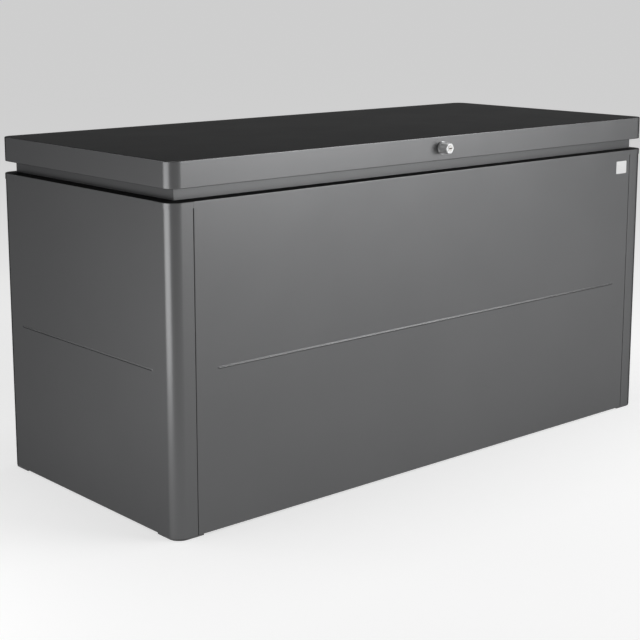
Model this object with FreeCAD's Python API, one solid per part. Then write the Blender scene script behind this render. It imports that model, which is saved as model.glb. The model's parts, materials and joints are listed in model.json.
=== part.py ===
import FreeCAD, Part
import math
import os

from FreeCAD import Vector

# Garden cushion box of folded steel sheet, with a hinged lid on two gas springs and a two-point lock.
# Millimetres. +Z is up, the front looks towards -Y, and the origin is on the ground under the middle.

# Outer size, over the rim and the lid
length = 1600.0
depth = 700.0
height = 820.0
corner_radius = 30.0

# Sheet and gaps
sheet = 1.0
bend = 1.6                # outer radius of a plain fold
fold_chamfer = 1.0        # stands for that radius where a fold runs round a corner
play = 0.3                # between neighbouring pieces that don't bear on each other
lip_play = 0.1            # between the walls and the rim lip that covers them
running_fit = 0.05        # radial clearance of a pin in its bore

# Walls
foot_height = 3.0
seam_margin = 59.0        # upright seam to the box's end, front and rear
seam_gap = 1.0
seam_flange = 12.0
top_flange = 15.0
bottom_flange = 20.0
flange_relief = 3.0
bead_z = 367.0
bead_height = 5.0
bead_proud = 1.8
front_bead_margin = 120.0
side_bead_margin = 81.0

# Rim
ledge_width = 28.0
lip_height = 13.0
cap_leg = 59.0
cap_lip_height = 14.0
return_width = 20.0
return_drop = 12.0
wrap_width = 3.5

# Lid
lid_inset = 1.5
skirt_height = 56.0
reveal = 28.5             # finger gap between lid and ledge
hem_width = 12.0
lid_bend = 2.2
frame_height = 7.0
frame_width = 28.0
frame_flange = 10.0
frame_overlap = 2.0       # lid frame past the neck's outer face
stiffener_width = 24.0
stiffener_margin = 400.0  # outer stiffeners to the box's end

# Seal
seal_gap = 0.3
seal_height = 3.7
seal_width = 12.0
seal_inset = 4.0
seal_crown = 1.5

# Floor
floor_rail_height = 20.0
floor_rail_width = 40.0
floor_rail_flange = 16.0
floor_rail_margin = 240.0  # outer rails to the box's end
floor_rail_end_gap = 2.0
floor_play = 1.0
floor_rib_width = 16.0
floor_rib_rise = 3.0
floor_rib_slope = 4.0
floor_rib_offset = 140.0
floor_rib_margin = 60.0
floor_rivet_margin = 127.0
notch_play = 2.0

# Feet
foot_leg = 72.0
foot_width = 24.0
foot_inset = 0.5
foot_rib = 2.0
foot_rib_height = 9.0
foot_screw_at = 48.0
foot_screw_in = 10.0
foot_screw_length = 3.4

# Hinges
hinge_margin = 240.0      # outer hinges to the box's end
hinge_width = 80.0
hinge_leaf = 2.0
hinge_pin_radius = 3.0
hinge_middle_knuckle = 30.0
hinge_axis_rise = 34.5    # above the ledge
hinge_plate_height = 34.0
hinge_gap = 0.3           # knuckle to neck
hinge_crank_start = 16.0
hinge_crank_rise = 7.0
hinge_lid_leaf_top = 44.0
hinge_rivet_spread = 50.0
body_leaf_rivet_rise = 22.0
lid_leaf_rivet_rise = 34.0

# Gas springs
spring_inset = 34.0       # neck to the plane that they swing in
spring_foot_inset = 62.0  # rear neck to the lower joint
spring_foot_drop = 175.5  # ledge to the lower joint
spring_head_inset = 135.0
spring_head_drop = 31.0   # lid sheet to the upper joint
cylinder_radius = 11.0
cylinder_wall = 1.5
cylinder_chamfer = 1.2
cylinder_base = 3.0
gland_length = 16.0
rod_radius = 5.0
rod_show = 8.0            # rod seen outside the cylinder when the lid is closed
piston_length = 14.0
piston_start = 2.0
socket_radius = 9.0
socket_width = 12.0
shank_length = 9.0
shank_radius = 5.5
stud_radius = 4.0
stud_head_radius = 6.0
stud_head_height = 2.0
bracket_sheet = 2.0
bracket_bend = 4.0
foot_bracket_height = 90.0
foot_bracket_face = 44.0
foot_bracket_flange = 18.0
bracket_gap = 12.0        # bracket face to socket
head_bracket_width = 46.0
head_bracket_flange = 28.0
head_bracket_below = 15.0
head_bracket_corner = 12.0

# Lock
lock_drop = 28.0          # lock axis under the lid top
knob_base_radius = 15.3
knob_end_radius = 13.0
knob_length = 24.0
knob_flutes = 6
knob_flute_turn = 30.0    # degrees from the side to the first flute
flute_radius = 6.0
flute_depth = 2.7
rosette_radius = 15.6
rosette_thickness = 2.0
sleeve_radius = 9.5
sleeve_behind = 12.0
spindle_radius = 5.0
spindle_square = 7.0
lock_nut_width = 24.0
lock_nut_thickness = 4.0
core_radius = 7.5
core_length = 16.0
core_proud = 0.4
key_slot_length = 10.0
key_slot_width = 2.6
key_slot_depth = 8.0
crank_plate_radius = 19.0
crank_plate_thickness = 2.5
crank_plate_gap = 0.5
crank_radius = 15.0
crank_half_turn = 45.0    # degrees to each side of upright
crank_pin_radius = 2.45
crank_pin_end = 0.5
slot_play = 0.55
rod_bar_width = 12.0
rod_bar_thickness = 3.0
rod_bar_bend = 14.0
rod_bar_tip = 3.0
rod_jog_start = 22.0
rod_jog_end = 40.0
rod_head_margin = 2.6
guide_first = 90.0        # lock axis to the first guide
guide_last = 40.0         # last guide to the keeper
guide_width = 20.0
guide_wall = 2.5
guide_play = 0.4
keeper_margin = 160.0     # keeper's inner edge to the box's end
keeper_width = 30.0
keeper_gap = 0.5
keeper_free = 3.0         # rod tip short of the keeper when unlocked
keeper_sheet = 2.0
keeper_bend = 3.0
keeper_reach = 12.0
keeper_drop = 26.0
keeper_rivet_spread = 14.0
keeper_rivet_rise = 10.0

# Fasteners
fastener_sides = 8        # small fasteners are plain prisms, which keeps the model light
rivet_radius = 2.0
rivet_head_radius = 3.8
rivet_head_height = 1.3
rivet_tail_radius = 2.9
rivet_tail_height = 1.2
rivet_play = 0.1
seam_rivet_count = 4
seam_rivet_margin = 90.0

# Planes worked out from the sizes above
rim_x = length / 2
rim_y = depth / 2
wall_x = rim_x - sheet - lip_play
wall_y = rim_y - sheet - lip_play
wall_radius = corner_radius - sheet - lip_play
seam_x = rim_x - seam_margin
seam_flange_y = wall_y - seam_flange
neck_x = rim_x - ledge_width
neck_y = rim_y - ledge_width
lid_x = rim_x - lid_inset
lid_y = rim_y - lid_inset
lid_radius = corner_radius - lid_inset
skirt_bottom = height - skirt_height
ledge_top = skirt_bottom - reveal
wall_top = ledge_top - sheet
lid_under = height - sheet
frame_under = lid_under - frame_height
frame_x = neck_x + frame_overlap
frame_y = neck_y + frame_overlap
frame_inner_x = frame_x - frame_width
frame_inner_y = frame_y - frame_width
seal_top = frame_under - seal_gap
neck_top = seal_top - seal_height
floor_top = floor_rail_height + sheet
floor_x = wall_x - sheet - floor_play
floor_y = wall_y - sheet - floor_play
floor_radius = wall_radius - sheet - floor_play
floor_rail_places = (floor_rail_margin - rim_x, 0.0, rim_x - floor_rail_margin)
floor_rail_run = wall_y - bottom_flange - floor_rail_end_gap

hinge_places = (hinge_margin - rim_x, 0.0, rim_x - hinge_margin)
knuckle_radius = hinge_pin_radius + running_fit + hinge_leaf
hinge_y = neck_y + hinge_gap + knuckle_radius
hinge_z = ledge_top + hinge_axis_rise

spring_plane = neck_x - spring_inset
spring_foot_y = neck_y - spring_foot_inset
spring_foot_z = ledge_top - spring_foot_drop
spring_head_y = neck_y - spring_head_inset
spring_head_z = lid_under - spring_head_drop
spring_closed = math.hypot(spring_head_y - spring_foot_y, spring_head_z - spring_foot_z)
fitting_length = socket_radius + shank_length
cylinder_end = spring_closed - fitting_length - rod_show
foot_point = Vector(-spring_plane, spring_foot_y, spring_foot_z)
head_point = Vector(-spring_plane, spring_head_y, spring_head_z)
spring_way = (head_point - foot_point).normalize()
foot_bracket_x = spring_plane + socket_width / 2 + bracket_gap
head_bracket_x = spring_plane - socket_width / 2 - bracket_gap

lock_z = height - lock_drop
skirt_front = -lid_y
skirt_back = skirt_front + sheet
rosette_front = skirt_front - rosette_thickness
knob_base = rosette_front - play
knob_end = knob_base - knob_length
sleeve_end = skirt_back + sleeve_behind
crank_plate_front = sleeve_end + crank_plate_gap
crank_plate_back = crank_plate_front + crank_plate_thickness
rod_front = crank_plate_back + play
rod_back = rod_front + rod_bar_thickness
crank_side = crank_radius * math.sin(math.radians(crank_half_turn))
crank_low = crank_radius * math.cos(math.radians(crank_half_turn))
keeper_start = rim_x - keeper_margin
guide_end = keeper_start - guide_last
guide_places = (guide_first, (guide_first + guide_end) / 2, guide_end)
rod_tip = keeper_start - keeper_free
keeper_top = lock_z + rod_bar_width / 2 + keeper_gap + keeper_sheet


# Simple solids

def block(x, y, z):
    corner = Vector(min(x), min(y), min(z))
    return Part.makeBox(abs(x[1] - x[0]), abs(y[1] - y[0]), abs(z[1] - z[0]), corner)


def round_bar(start, end, radius):
    along = end - start
    return Part.makeCylinder(radius, along.Length, start, along)


def joined(shapes):
    whole = shapes[0]
    for shape in shapes[1:]:
        whole = whole.fuse(shape)
    return whole.removeSplitter()


def mirrored_x(shape):
    return shape.mirror(Vector(0, 0, 0), Vector(1, 0, 0))


def mirrored_y(shape):
    return shape.mirror(Vector(0, 0, 0), Vector(0, 1, 0))


def flipped_x(point):
    return Vector(-point.x, point.y, point.z)


def flipped_y(point):
    return Vector(point.x, -point.y, point.z)


def rounded_slab(half_x, half_y, radius, z_low, z_high):
    # upright prism on a rectangle with rounded corners, centred on the origin
    straight_x = half_x - radius
    straight_y = half_y - radius
    arcs = []
    for turn, side_x, side_y in ((0, 1, 1), (90, -1, 1), (180, -1, -1), (270, 1, -1)):
        centre = Vector(side_x * straight_x, side_y * straight_y, z_low)
        on_arc = []
        for step in (0, 45, 90):
            angle = math.radians(turn + step)
            on_arc.append(centre + Vector(math.cos(angle), math.sin(angle), 0) * radius)
        arcs.append(on_arc)
    edges = []
    for i, on_arc in enumerate(arcs):
        edges.append(Part.Arc(*on_arc).toShape())
        edges.append(Part.makeLine(on_arc[2], arcs[(i + 1) % 4][0]))
    return Part.Face(Part.Wire(edges)).extrude(Vector(0, 0, z_high - z_low))


def edges_at_height(shape, z):
    level = []
    for edge in shape.Edges:
        if abs(edge.BoundBox.ZMin - z) < 1e-6 and abs(edge.BoundBox.ZMax - z) < 1e-6:
            level.append(edge)
    return level


# Folded sheet: a section is drawn as the line of one face, with the sheet on the left of that line

def corner_turn(before, corner, after):
    leg_in = (corner - before).normalize()
    leg_out = (after - corner).normalize()
    turn = math.atan2(leg_in.x * leg_out.y - leg_in.y * leg_out.x, leg_in.dot(leg_out))
    return leg_in, leg_out, turn


def moved_left(points, distance):
    moved = []
    for i, point in enumerate(points):
        normals = []
        for a, b in ((i - 1, i), (i, i + 1)):
            if a >= 0 and b < len(points):
                leg = (points[b] - points[a]).normalize()
                normals.append(Vector(-leg.y, leg.x, 0))
        if len(normals) == 1:
            moved.append(point + normals[0] * distance)
        else:
            both = normals[0] + normals[1]
            moved.append(point + both * (distance / (1 + normals[0].dot(normals[1]))))
    return moved


def rounded_line(points, radii):
    # straight runs joined by tangent arcs, with one radius for each inner point
    edges = []
    start = points[0]
    for i, radius in enumerate(radii):
        corner = points[i + 1]
        leg_in, leg_out, turn = corner_turn(points[i], corner, points[i + 2])
        if radius <= 0:
            edges.append(Part.makeLine(start, corner))
            start = corner
            continue
        reach = radius * math.tan(abs(turn) / 2)
        arc_start = corner - leg_in * reach
        arc_end = corner + leg_out * reach
        inward = (leg_out - leg_in).normalize()
        arc_middle = corner + inward * (radius / math.cos(turn / 2) - radius)
        edges.append(Part.makeLine(start, arc_start))
        edges.append(Part.Arc(arc_start, arc_middle, arc_end).toShape())
        start = arc_end
    edges.append(Part.makeLine(start, points[-1]))
    return edges


def sheet_section(outline, thickness, radii):
    # face of the folded sheet in the XY plane; radii are the larger radius of each bend
    line = [Vector(u, v, 0) for u, v in outline]
    other = moved_left(line, thickness)
    line_radii = []
    other_radii = []
    for i, radius in enumerate(radii):
        turn = corner_turn(line[i], line[i + 1], line[i + 2])[2]
        smaller = max(radius - thickness, 0)
        line_radii.append(radius if turn > 0 else smaller)
        other_radii.append(smaller if turn > 0 else radius)
    edges = rounded_line(line, line_radii)
    edges.append(Part.makeLine(line[-1], other[-1]))
    edges += rounded_line(other[::-1], other_radii[::-1])
    edges.append(Part.makeLine(other[0], line[0]))
    return Part.Face(Part.Wire(edges))


def plan_sheet(outline, thickness, radii, z_low, z_high):
    # section of (x, y) points, standing upright
    face = sheet_section(outline, thickness, radii)
    face.translate(Vector(0, 0, z_low))
    return face.extrude(Vector(0, 0, z_high - z_low))


def sheet_along_x(outline, thickness, radii, x_low, x_high):
    # section of (y, z) points, running along X
    face = sheet_section(outline, thickness, radii)
    face.rotate(Vector(0, 0, 0), Vector(1, 1, 1), 120)
    face.translate(Vector(x_low, 0, 0))
    return face.extrude(Vector(x_high - x_low, 0, 0))


def sheet_along_y(outline, thickness, radii, y_low, y_high):
    # section of (x, z) points, running along Y
    face = sheet_section(outline, thickness, radii)
    face.rotate(Vector(0, 0, 0), Vector(1, 0, 0), 90)
    face.translate(Vector(0, y_low, 0))
    return face.extrude(Vector(0, y_high - y_low, 0))


# Fasteners

def prism(start, end, radius):
    # bar along a main axis, whose flats lie on a circle of the given radius
    along = end - start
    across = Vector(1, 0, 0) if abs(along.x) < along.Length / 2 else Vector(0, 1, 0)
    step = math.radians(360.0 / fastener_sides)
    reach = across * (radius / math.cos(step / 2))
    other = along.cross(reach).normalize() * reach.Length
    corners = []
    for i in range(fastener_sides):
        angle = (i + 0.5) * step
        corners.append(start + reach * math.cos(angle) + other * math.sin(angle))
    return Part.Face(Part.makePolygon(corners + corners[:1])).extrude(along)


def screw(point, way, shank_length_in):
    # low head behind point, shank from point along way
    head = prism(point - way * rivet_head_height, point, rivet_head_radius)
    return joined([head, prism(point, point + way * shank_length_in, rivet_radius)])


def rivet(point, way, grip):
    # a screw's head and shank, with a closing head past the grip
    end = point + way * grip
    tail = prism(end, end + way * rivet_tail_height, rivet_tail_radius)
    return joined([screw(point, way, grip + rivet_tail_height), tail])


def drilled(shape, places, way, grip):
    for place in places:
        bore = prism(place - way * sheet, place + way * (grip + sheet), rivet_radius + rivet_play)
        shape = shape.cut(bore)
    return shape


# Pressed lines, raised out of the sheet and hollow behind at its thickness

def crown_radius(width, rise):
    return (width ** 2 / 4 + rise ** 2) / (2 * rise)


def beaded(wall, start, end, outside):
    # round bead with pointed ends; start and end are on its axis, behind the wall's outer face
    radius = crown_radius(bead_height, bead_proud)
    point_radius = radius - bead_proud
    along = (end - start).normalize()
    points = []
    for tip, way in ((start, along * -1), (end, along)):
        points.append(Part.makeCone(radius, point_radius, bead_height, tip, way))
    raised = joined([round_bar(start, end, radius)] + points).common(outside)
    return wall.fuse(raised).cut(round_bar(start, end, radius - sheet))


def ribbed(panel, x, reach):
    # flat-topped rib with sloping sides and ends, across the floor
    half = floor_rib_width / 2
    top_half = half - floor_rib_slope
    rib = Part.makeWedge(x - half, 0, -reach, -reach + floor_rib_slope, x - top_half,
                         x + half, floor_rib_rise, reach, reach - floor_rib_slope, x + top_half)
    rib.rotate(Vector(0, 0, 0), Vector(1, 0, 0), 90)
    raised = rib.translated(Vector(0, 0, floor_top))
    hollow = rib.translated(Vector(0, 0, floor_rail_height))
    return panel.fuse(raised).cut(hollow)


# Walls

def seam_rivet_places():
    # heads of the rivets in the front left seam, on the side wall's flange
    span = wall_top - foot_height - 2 * seam_rivet_margin
    x = -seam_x - seam_gap / 2 - sheet
    y = -wall_y + (seam_flange + sheet) / 2
    low = foot_height + seam_rivet_margin
    return [Vector(x, y, low + span * i / (seam_rivet_count - 1)) for i in range(seam_rivet_count)]


seam_grip = seam_gap + 2 * sheet


def foot_screw_places():
    # heads of the two screws of the front left foot, on the side wall's bottom flange
    z = foot_height + sheet
    along_side = Vector(-wall_x + foot_screw_in, -wall_y + foot_screw_at, z)
    along_front = Vector(-wall_x + foot_screw_at, -wall_y + foot_screw_in, z)
    return [along_side, along_front]


def wall_shell():
    # all four walls with their top and bottom folds, still in one
    outer = rounded_slab(wall_x, wall_y, wall_radius, foot_height, wall_top)
    folds = edges_at_height(outer, foot_height) + edges_at_height(outer, wall_top)
    outer = outer.makeChamfer(fold_chamfer, folds)
    inner = rounded_slab(wall_x - sheet, wall_y - sheet, wall_radius - sheet,
                         foot_height + sheet, wall_top - sheet)
    top_mouth = rounded_slab(wall_x - top_flange, wall_y - top_flange, wall_radius - top_flange,
                             wall_top / 2, height)
    bottom_mouth = rounded_slab(wall_x - bottom_flange, wall_y - bottom_flange, wall_radius - bottom_flange,
                                0, wall_top / 2)
    return outer.cut(inner).cut(top_mouth).cut(bottom_mouth)


def front_wall():
    edge_x = seam_x - seam_gap / 2
    fold_x = edge_x - flange_relief
    seam_fold = plan_sheet([(-edge_x, -seam_flange_y), (-edge_x, -wall_y), (-fold_x, -wall_y)],
                           sheet, [bend], foot_height + fold_chamfer, wall_top - fold_chamfer)
    face = wall_shell().common(block((-fold_x, fold_x), (-rim_y, 0), (0, height)))
    wall = joined([face, seam_fold, mirrored_x(seam_fold)])
    axis_y = -wall_y - bead_proud + crown_radius(bead_height, bead_proud)
    end = Vector(rim_x - front_bead_margin, axis_y, bead_z)
    outside = block((-rim_x, rim_x), (-rim_y - bead_height, -wall_y + sheet), (0, height))
    wall = beaded(wall, flipped_x(end), end, outside)
    left = seam_rivet_places()
    wall = drilled(wall, left, Vector(1, 0, 0), seam_grip)
    return drilled(wall, [flipped_x(place) for place in left], Vector(-1, 0, 0), seam_grip)


def left_side_wall():
    # one sheet that wraps round both corners onto the front and the rear
    edge_x = seam_x + seam_gap / 2
    fold_x = edge_x + flange_relief
    seam_fold = plan_sheet([(-fold_x, -wall_y), (-edge_x, -wall_y), (-edge_x, -seam_flange_y)],
                           sheet, [bend], foot_height + fold_chamfer, wall_top - fold_chamfer)
    face = wall_shell().common(block((-rim_x, -fold_x), (-rim_y, rim_y), (0, height)))
    wall = joined([face, seam_fold, mirrored_y(seam_fold)])
    axis_x = -wall_x - bead_proud + crown_radius(bead_height, bead_proud)
    end = Vector(axis_x, rim_y - side_bead_margin, bead_z)
    outside = block((-rim_x - bead_height, -wall_x + sheet), (-rim_y, rim_y), (0, height))
    wall = beaded(wall, flipped_y(end), end, outside)
    for places, way, grip in ((seam_rivet_places(), Vector(1, 0, 0), seam_grip),
                              (foot_screw_places(), Vector(0, 0, -1), sheet)):
        wall = drilled(wall, places, way, grip)
        wall = drilled(wall, [flipped_y(place) for place in places], way, grip)
    return wall


def seam_rivets():
    front_left = [rivet(place, Vector(1, 0, 0), seam_grip) for place in seam_rivet_places()]
    left = front_left + [mirrored_y(one) for one in front_left]
    return left + [mirrored_x(one) for one in left]


# Rim: outer lip, ledge and upright neck folded from one strip, closed at the corners by caps

def rim_section(outer, neck):
    # outline of a rail from the return's drop to the lip; outer and neck are the two upright faces
    inner = neck + return_width
    upright = [(inner, neck_top - return_drop), (inner, neck_top), (neck, neck_top), (neck, ledge_top)]
    return upright, upright + [(outer, ledge_top), (outer, ledge_top - lip_height)]


def long_rail():
    # drawn at the front; its neck stops beside the side rail's wrapped edge
    upright, whole = rim_section(-rim_y, -neck_y)
    ledge_run = rim_x - cap_leg - play
    return_run = neck_x - return_width - play
    neck_run = neck_x - wrap_width - play
    return joined([
        sheet_along_x(whole, sheet, [bend] * 4, -ledge_run, ledge_run),
        sheet_along_x(upright, sheet, [bend] * 2, -return_run, return_run),
        block((-neck_run, neck_run), (-neck_y, -neck_y + sheet), (ledge_top, neck_top - sheet - lip_play)),
    ])


def front_top_rail():
    left = keeper_rivet_places()
    places = left + [flipped_x(place) for place in left]
    return drilled(long_rail(), places, Vector(0, 1, 0), keeper_sheet + sheet)


def rear_top_rail():
    return drilled(mirrored_y(long_rail()), body_leaf_rivet_places(), Vector(0, -1, 0), hinge_leaf + sheet)


def left_top_rail():
    upright, whole = rim_section(-rim_x, -neck_x)
    ledge_run = rim_y - cap_leg - play
    drop_run = neck_y - return_width
    wrap = block((-neck_x, -neck_x + wrap_width), (-neck_y, -neck_y + sheet), (ledge_top, neck_top - bend))
    return joined([
        sheet_along_y(whole, sheet, [bend] * 4, -ledge_run, ledge_run),
        sheet_along_y(upright, sheet, [bend] * 2, -drop_run, drop_run),
        sheet_along_y(upright[1:], sheet, [bend], -neck_y, neck_y),
        wrap,
        mirrored_y(wrap),
    ])


def front_left_corner_cap():
    outline = [(-rim_x, -rim_y + cap_leg), (-rim_x, -rim_y), (-rim_x + cap_leg, -rim_y)]
    cap = joined([
        plan_sheet(outline, ledge_width, [corner_radius], wall_top, ledge_top),
        plan_sheet(outline, sheet, [corner_radius], ledge_top - cap_lip_height, ledge_top),
    ])
    fold = []
    for edge in edges_at_height(cap, ledge_top):
        if all(abs(v.X + rim_x) < 1e-6 or abs(v.Y + rim_y) < 1e-6 for v in edge.Vertexes):
            fold.append(edge)
    return cap.makeChamfer(fold_chamfer, fold)


def seal_strip(x, y):
    strip = block(x, y, (neck_top, seal_top))
    return strip.makeChamfer(seal_crown, edges_at_height(strip, seal_top))


def lid_seal():
    # four lengths of foam strip, butted at the corners
    long_x, long_y = neck_x - seal_inset, neck_y - seal_inset
    front = seal_strip((-long_x, long_x), (-long_y, seal_width - long_y))
    left_run = long_y - seal_width - lip_play
    left = seal_strip((-long_x, seal_width - long_x), (-left_run, left_run))
    return Part.makeCompound([front, mirrored_y(front), left, mirrored_x(left)])


# Floor

def floor_rivet_places(rail_x):
    # heads on the floor panel, over both flanges of one rail
    reach = (floor_rail_width + floor_rail_flange) / 2
    rivet_y = floor_rail_run - floor_rivet_margin
    return [Vector(rail_x + side * reach, end * rivet_y, floor_top) for side in (-1, 1) for end in (-1, 1)]


def floor_rail(rail_x):
    half = floor_rail_width / 2
    under = floor_rail_height - sheet
    outline = [(rail_x - half - floor_rail_flange, under), (rail_x - half, under), (rail_x - half, 0),
               (rail_x + half, 0), (rail_x + half, under), (rail_x + half + floor_rail_flange, under)]
    rail = sheet_along_y(outline, sheet, [bend] * 4, -floor_rail_run, floor_rail_run)
    return drilled(rail, floor_rivet_places(rail_x), Vector(0, 0, -1), 2 * sheet)


def floor_panel():
    # tray with its edge folded down onto the walls' bottom flange, and pressed ribs
    edge_low = foot_height + sheet
    tray = rounded_slab(floor_x, floor_y, floor_radius, edge_low, floor_top)
    tray = tray.makeChamfer(fold_chamfer, edges_at_height(tray, floor_top))
    inside = rounded_slab(floor_x - sheet, floor_y - sheet, floor_radius - sheet, 0, floor_rail_height)
    tray = tray.cut(inside)
    for rail_x in floor_rail_places:
        for side in (-1, 1):
            tray = ribbed(tray, rail_x + side * floor_rib_offset, floor_y - floor_rib_margin)
        tray = drilled(tray, floor_rivet_places(rail_x), Vector(0, 0, -1), 2 * sheet)
    # notches round the flanges of the wall seams
    notch_half = seam_gap / 2 + sheet + notch_play
    for side_x in (-1, 1):
        for side_y in (-1, 1):
            middle = side_x * seam_x
            notch_y = (side_y * (seam_flange_y - notch_play), side_y * wall_y)
            tray = tray.cut(block((middle - notch_half, middle + notch_half), notch_y, (0, height)))
    return tray


def floor_rivets():
    return [rivet(place, Vector(0, 0, -1), 2 * sheet)
            for rail_x in floor_rail_places for place in floor_rivet_places(rail_x)]


# Feet

def front_left_foot():
    # flat corner plate under the walls, with a rib that stands inside their bottom flange
    out_x = -wall_x + foot_inset
    out_y = -wall_y + foot_inset
    rib_in = bottom_flange + play
    plate = [(out_x, out_y + foot_leg), (out_x, out_y), (out_x + foot_leg, out_y)]
    rib = [(-wall_x + rib_in, out_y + foot_leg), (-wall_x + rib_in, -wall_y + rib_in),
           (out_x + foot_leg, -wall_y + rib_in)]
    foot = joined([
        plan_sheet(plate, foot_width, [wall_radius - foot_inset], 0, foot_height),
        plan_sheet(rib, foot_rib, [wall_radius - rib_in], 0, foot_height + foot_rib_height),
    ])
    return drilled(foot, foot_screw_places(), Vector(0, 0, -1), foot_height + sheet)


def foot_screws():
    front_left = [screw(place, Vector(0, 0, -1), foot_screw_length) for place in foot_screw_places()]
    left = front_left + [mirrored_y(one) for one in front_left]
    return left + [mirrored_x(one) for one in left]


# Hinges, hidden between the neck and the lid's rear skirt

def knuckle(x_low, x_high):
    bore = hinge_pin_radius + running_fit
    barrel = round_bar(Vector(x_low, hinge_y, hinge_z), Vector(x_high, hinge_y, hinge_z), knuckle_radius)
    return barrel.cut(round_bar(Vector(x_low, hinge_y, hinge_z), Vector(x_high, hinge_y, hinge_z), bore))


def hinge_body_leaf(x):
    half = hinge_width / 2
    gap = hinge_middle_knuckle / 2 + play
    plate = block((x - half, x + half), (neck_y, neck_y + hinge_leaf),
                  (hinge_z, hinge_z + hinge_plate_height))
    window = block((x - gap, x + gap), (0, rim_y), (0, hinge_z + knuckle_radius + play))
    leaf = joined([plate.cut(window), knuckle(x - half, x - gap), knuckle(x + gap, x + half)])
    return drilled(leaf, body_leaf_rivet_places(), Vector(0, -1, 0), hinge_leaf)


def hinge_lid_leaf(x):
    # cranked plate, from the middle knuckle back to the lid's rear skirt
    half = hinge_width / 2
    gap = hinge_middle_knuckle / 2
    back = hinge_y + knuckle_radius
    seat = lid_y - sheet
    crank_end = hinge_z + hinge_crank_start + hinge_crank_rise
    outline = [(back, hinge_z), (back, hinge_z + hinge_crank_start), (seat, crank_end),
               (seat, hinge_z + hinge_lid_leaf_top)]
    plate = sheet_along_x(outline, hinge_leaf, [hinge_leaf * 2] * 2, x - half, x + half)
    ear_top = hinge_z + knuckle_radius + play
    for side in (-1, 1):
        plate = plate.cut(block((x + side * gap, x + side * (half + play)), (0, rim_y), (0, ear_top)))
    leaf = joined([plate, knuckle(x - gap, x + gap)])
    return drilled(leaf, lid_leaf_rivet_places(), Vector(0, -1, 0), sheet + hinge_leaf)


def hinge_pin(x):
    reach = Vector(hinge_width / 2, 0, 0)
    middle = Vector(x, hinge_y, hinge_z)
    return round_bar(middle - reach, middle + reach, hinge_pin_radius)


def body_leaf_rivet_places():
    z = hinge_z + body_leaf_rivet_rise
    return [Vector(x + side * hinge_rivet_spread / 2, neck_y + hinge_leaf, z)
            for x in hinge_places for side in (-1, 1)]


def lid_leaf_rivet_places():
    z = hinge_z + lid_leaf_rivet_rise
    return [Vector(x + side * hinge_rivet_spread / 2, lid_y, z)
            for x in hinge_places for side in (-1, 1)]


# Lid

def lid_shell():
    outer = rounded_slab(lid_x, lid_y, lid_radius, skirt_bottom, height)
    outer = outer.makeFillet(lid_bend, edges_at_height(outer, height))
    outer = outer.makeChamfer(fold_chamfer, edges_at_height(outer, skirt_bottom))
    inner = rounded_slab(lid_x - sheet, lid_y - sheet, lid_radius - sheet, skirt_bottom + sheet, lid_under)
    inner = inner.makeChamfer(lid_bend - sheet, edges_at_height(inner, lid_under))
    mouth = rounded_slab(lid_x - hem_width, lid_y - hem_width, lid_radius - hem_width,
                         0, lid_under - hem_width)
    shell = outer.cut(inner).cut(mouth)
    lock_bore = round_bar(Vector(0, -rim_y, lock_z), Vector(0, -neck_y, lock_z), sleeve_radius + lip_play)
    return drilled(shell.cut(lock_bore), lid_leaf_rivet_places(), Vector(0, -1, 0), sheet)


def hat_outline(low, high):
    # hat section with its crown at frame height under the lid and its flanges on the lid sheet
    rim = lid_under - sheet
    return [(low - frame_flange, rim), (low, rim), (low, frame_under),
            (high, frame_under), (high, rim), (high + frame_flange, rim)]


def front_lid_frame():
    frame = sheet_along_x(hat_outline(-frame_y, -frame_inner_y), sheet, [bend] * 4, -frame_x, frame_x)
    clear_x = frame_inner_x - frame_flange - play
    for side in (-1, 1):
        corner = block((side * clear_x, side * rim_x), (-frame_inner_y, 0), (0, height))
        frame = frame.cut(corner)
    return frame


def left_lid_frame():
    run = frame_inner_y - play
    return sheet_along_y(hat_outline(-frame_x, -frame_inner_x), sheet, [bend] * 4, -run, run)


def lid_stiffeners():
    run = frame_inner_y - frame_flange - play
    half = stiffener_width / 2
    return [sheet_along_y(hat_outline(x - half, x + half), sheet, [bend] * 4, -run, run)
            for x in (stiffener_margin - rim_x, 0, rim_x - stiffener_margin)]


# Gas springs, drawn on the left

def along_spring(distance):
    return foot_point + spring_way * distance


def left_spring_bracket():
    # hat-shaped bracket on the side wall
    low = spring_foot_y - foot_bracket_face / 2
    high = spring_foot_y + foot_bracket_face / 2
    wall_face = -wall_x + sheet + bracket_sheet
    outline = [(wall_face, low - foot_bracket_flange), (wall_face, low), (-foot_bracket_x, low),
               (-foot_bracket_x, high), (wall_face, high), (wall_face, high + foot_bracket_flange)]
    half = foot_bracket_height / 2
    bracket = plan_sheet(outline, bracket_sheet, [bracket_bend] * 4,
                         spring_foot_z - half, spring_foot_z + half)
    bore_start = foot_point - Vector(foot_bracket_x, 0, 0)
    return bracket.cut(round_bar(bore_start, foot_point, stud_radius + running_fit))


def stud(plate_face, tip, way):
    # pin along X from its riveted head behind a bracket plate, with the plate's thickness between
    base = plate_face - way * bracket_sheet
    head = round_bar(base - way * stud_head_height, base, stud_head_radius)
    return joined([head, round_bar(base, tip, stud_radius)])


def left_foot_stud():
    # its end is peened over beyond the socket that turns on it
    way = Vector(1, 0, 0)
    end = foot_point + way * (socket_width / 2 + play)
    pin = stud(Vector(-foot_bracket_x, foot_point.y, foot_point.z), end, way)
    return joined([pin, round_bar(end, end + way * stud_head_height, stud_head_radius)])


def left_foot_socket():
    across = Vector(socket_width / 2, 0, 0)
    eye = round_bar(foot_point - across, foot_point + across, socket_radius)
    shank = round_bar(foot_point, along_spring(fitting_length), shank_radius)
    bore = round_bar(foot_point - across, foot_point + across, stud_radius + running_fit)
    return joined([eye, shank]).cut(bore)


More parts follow.
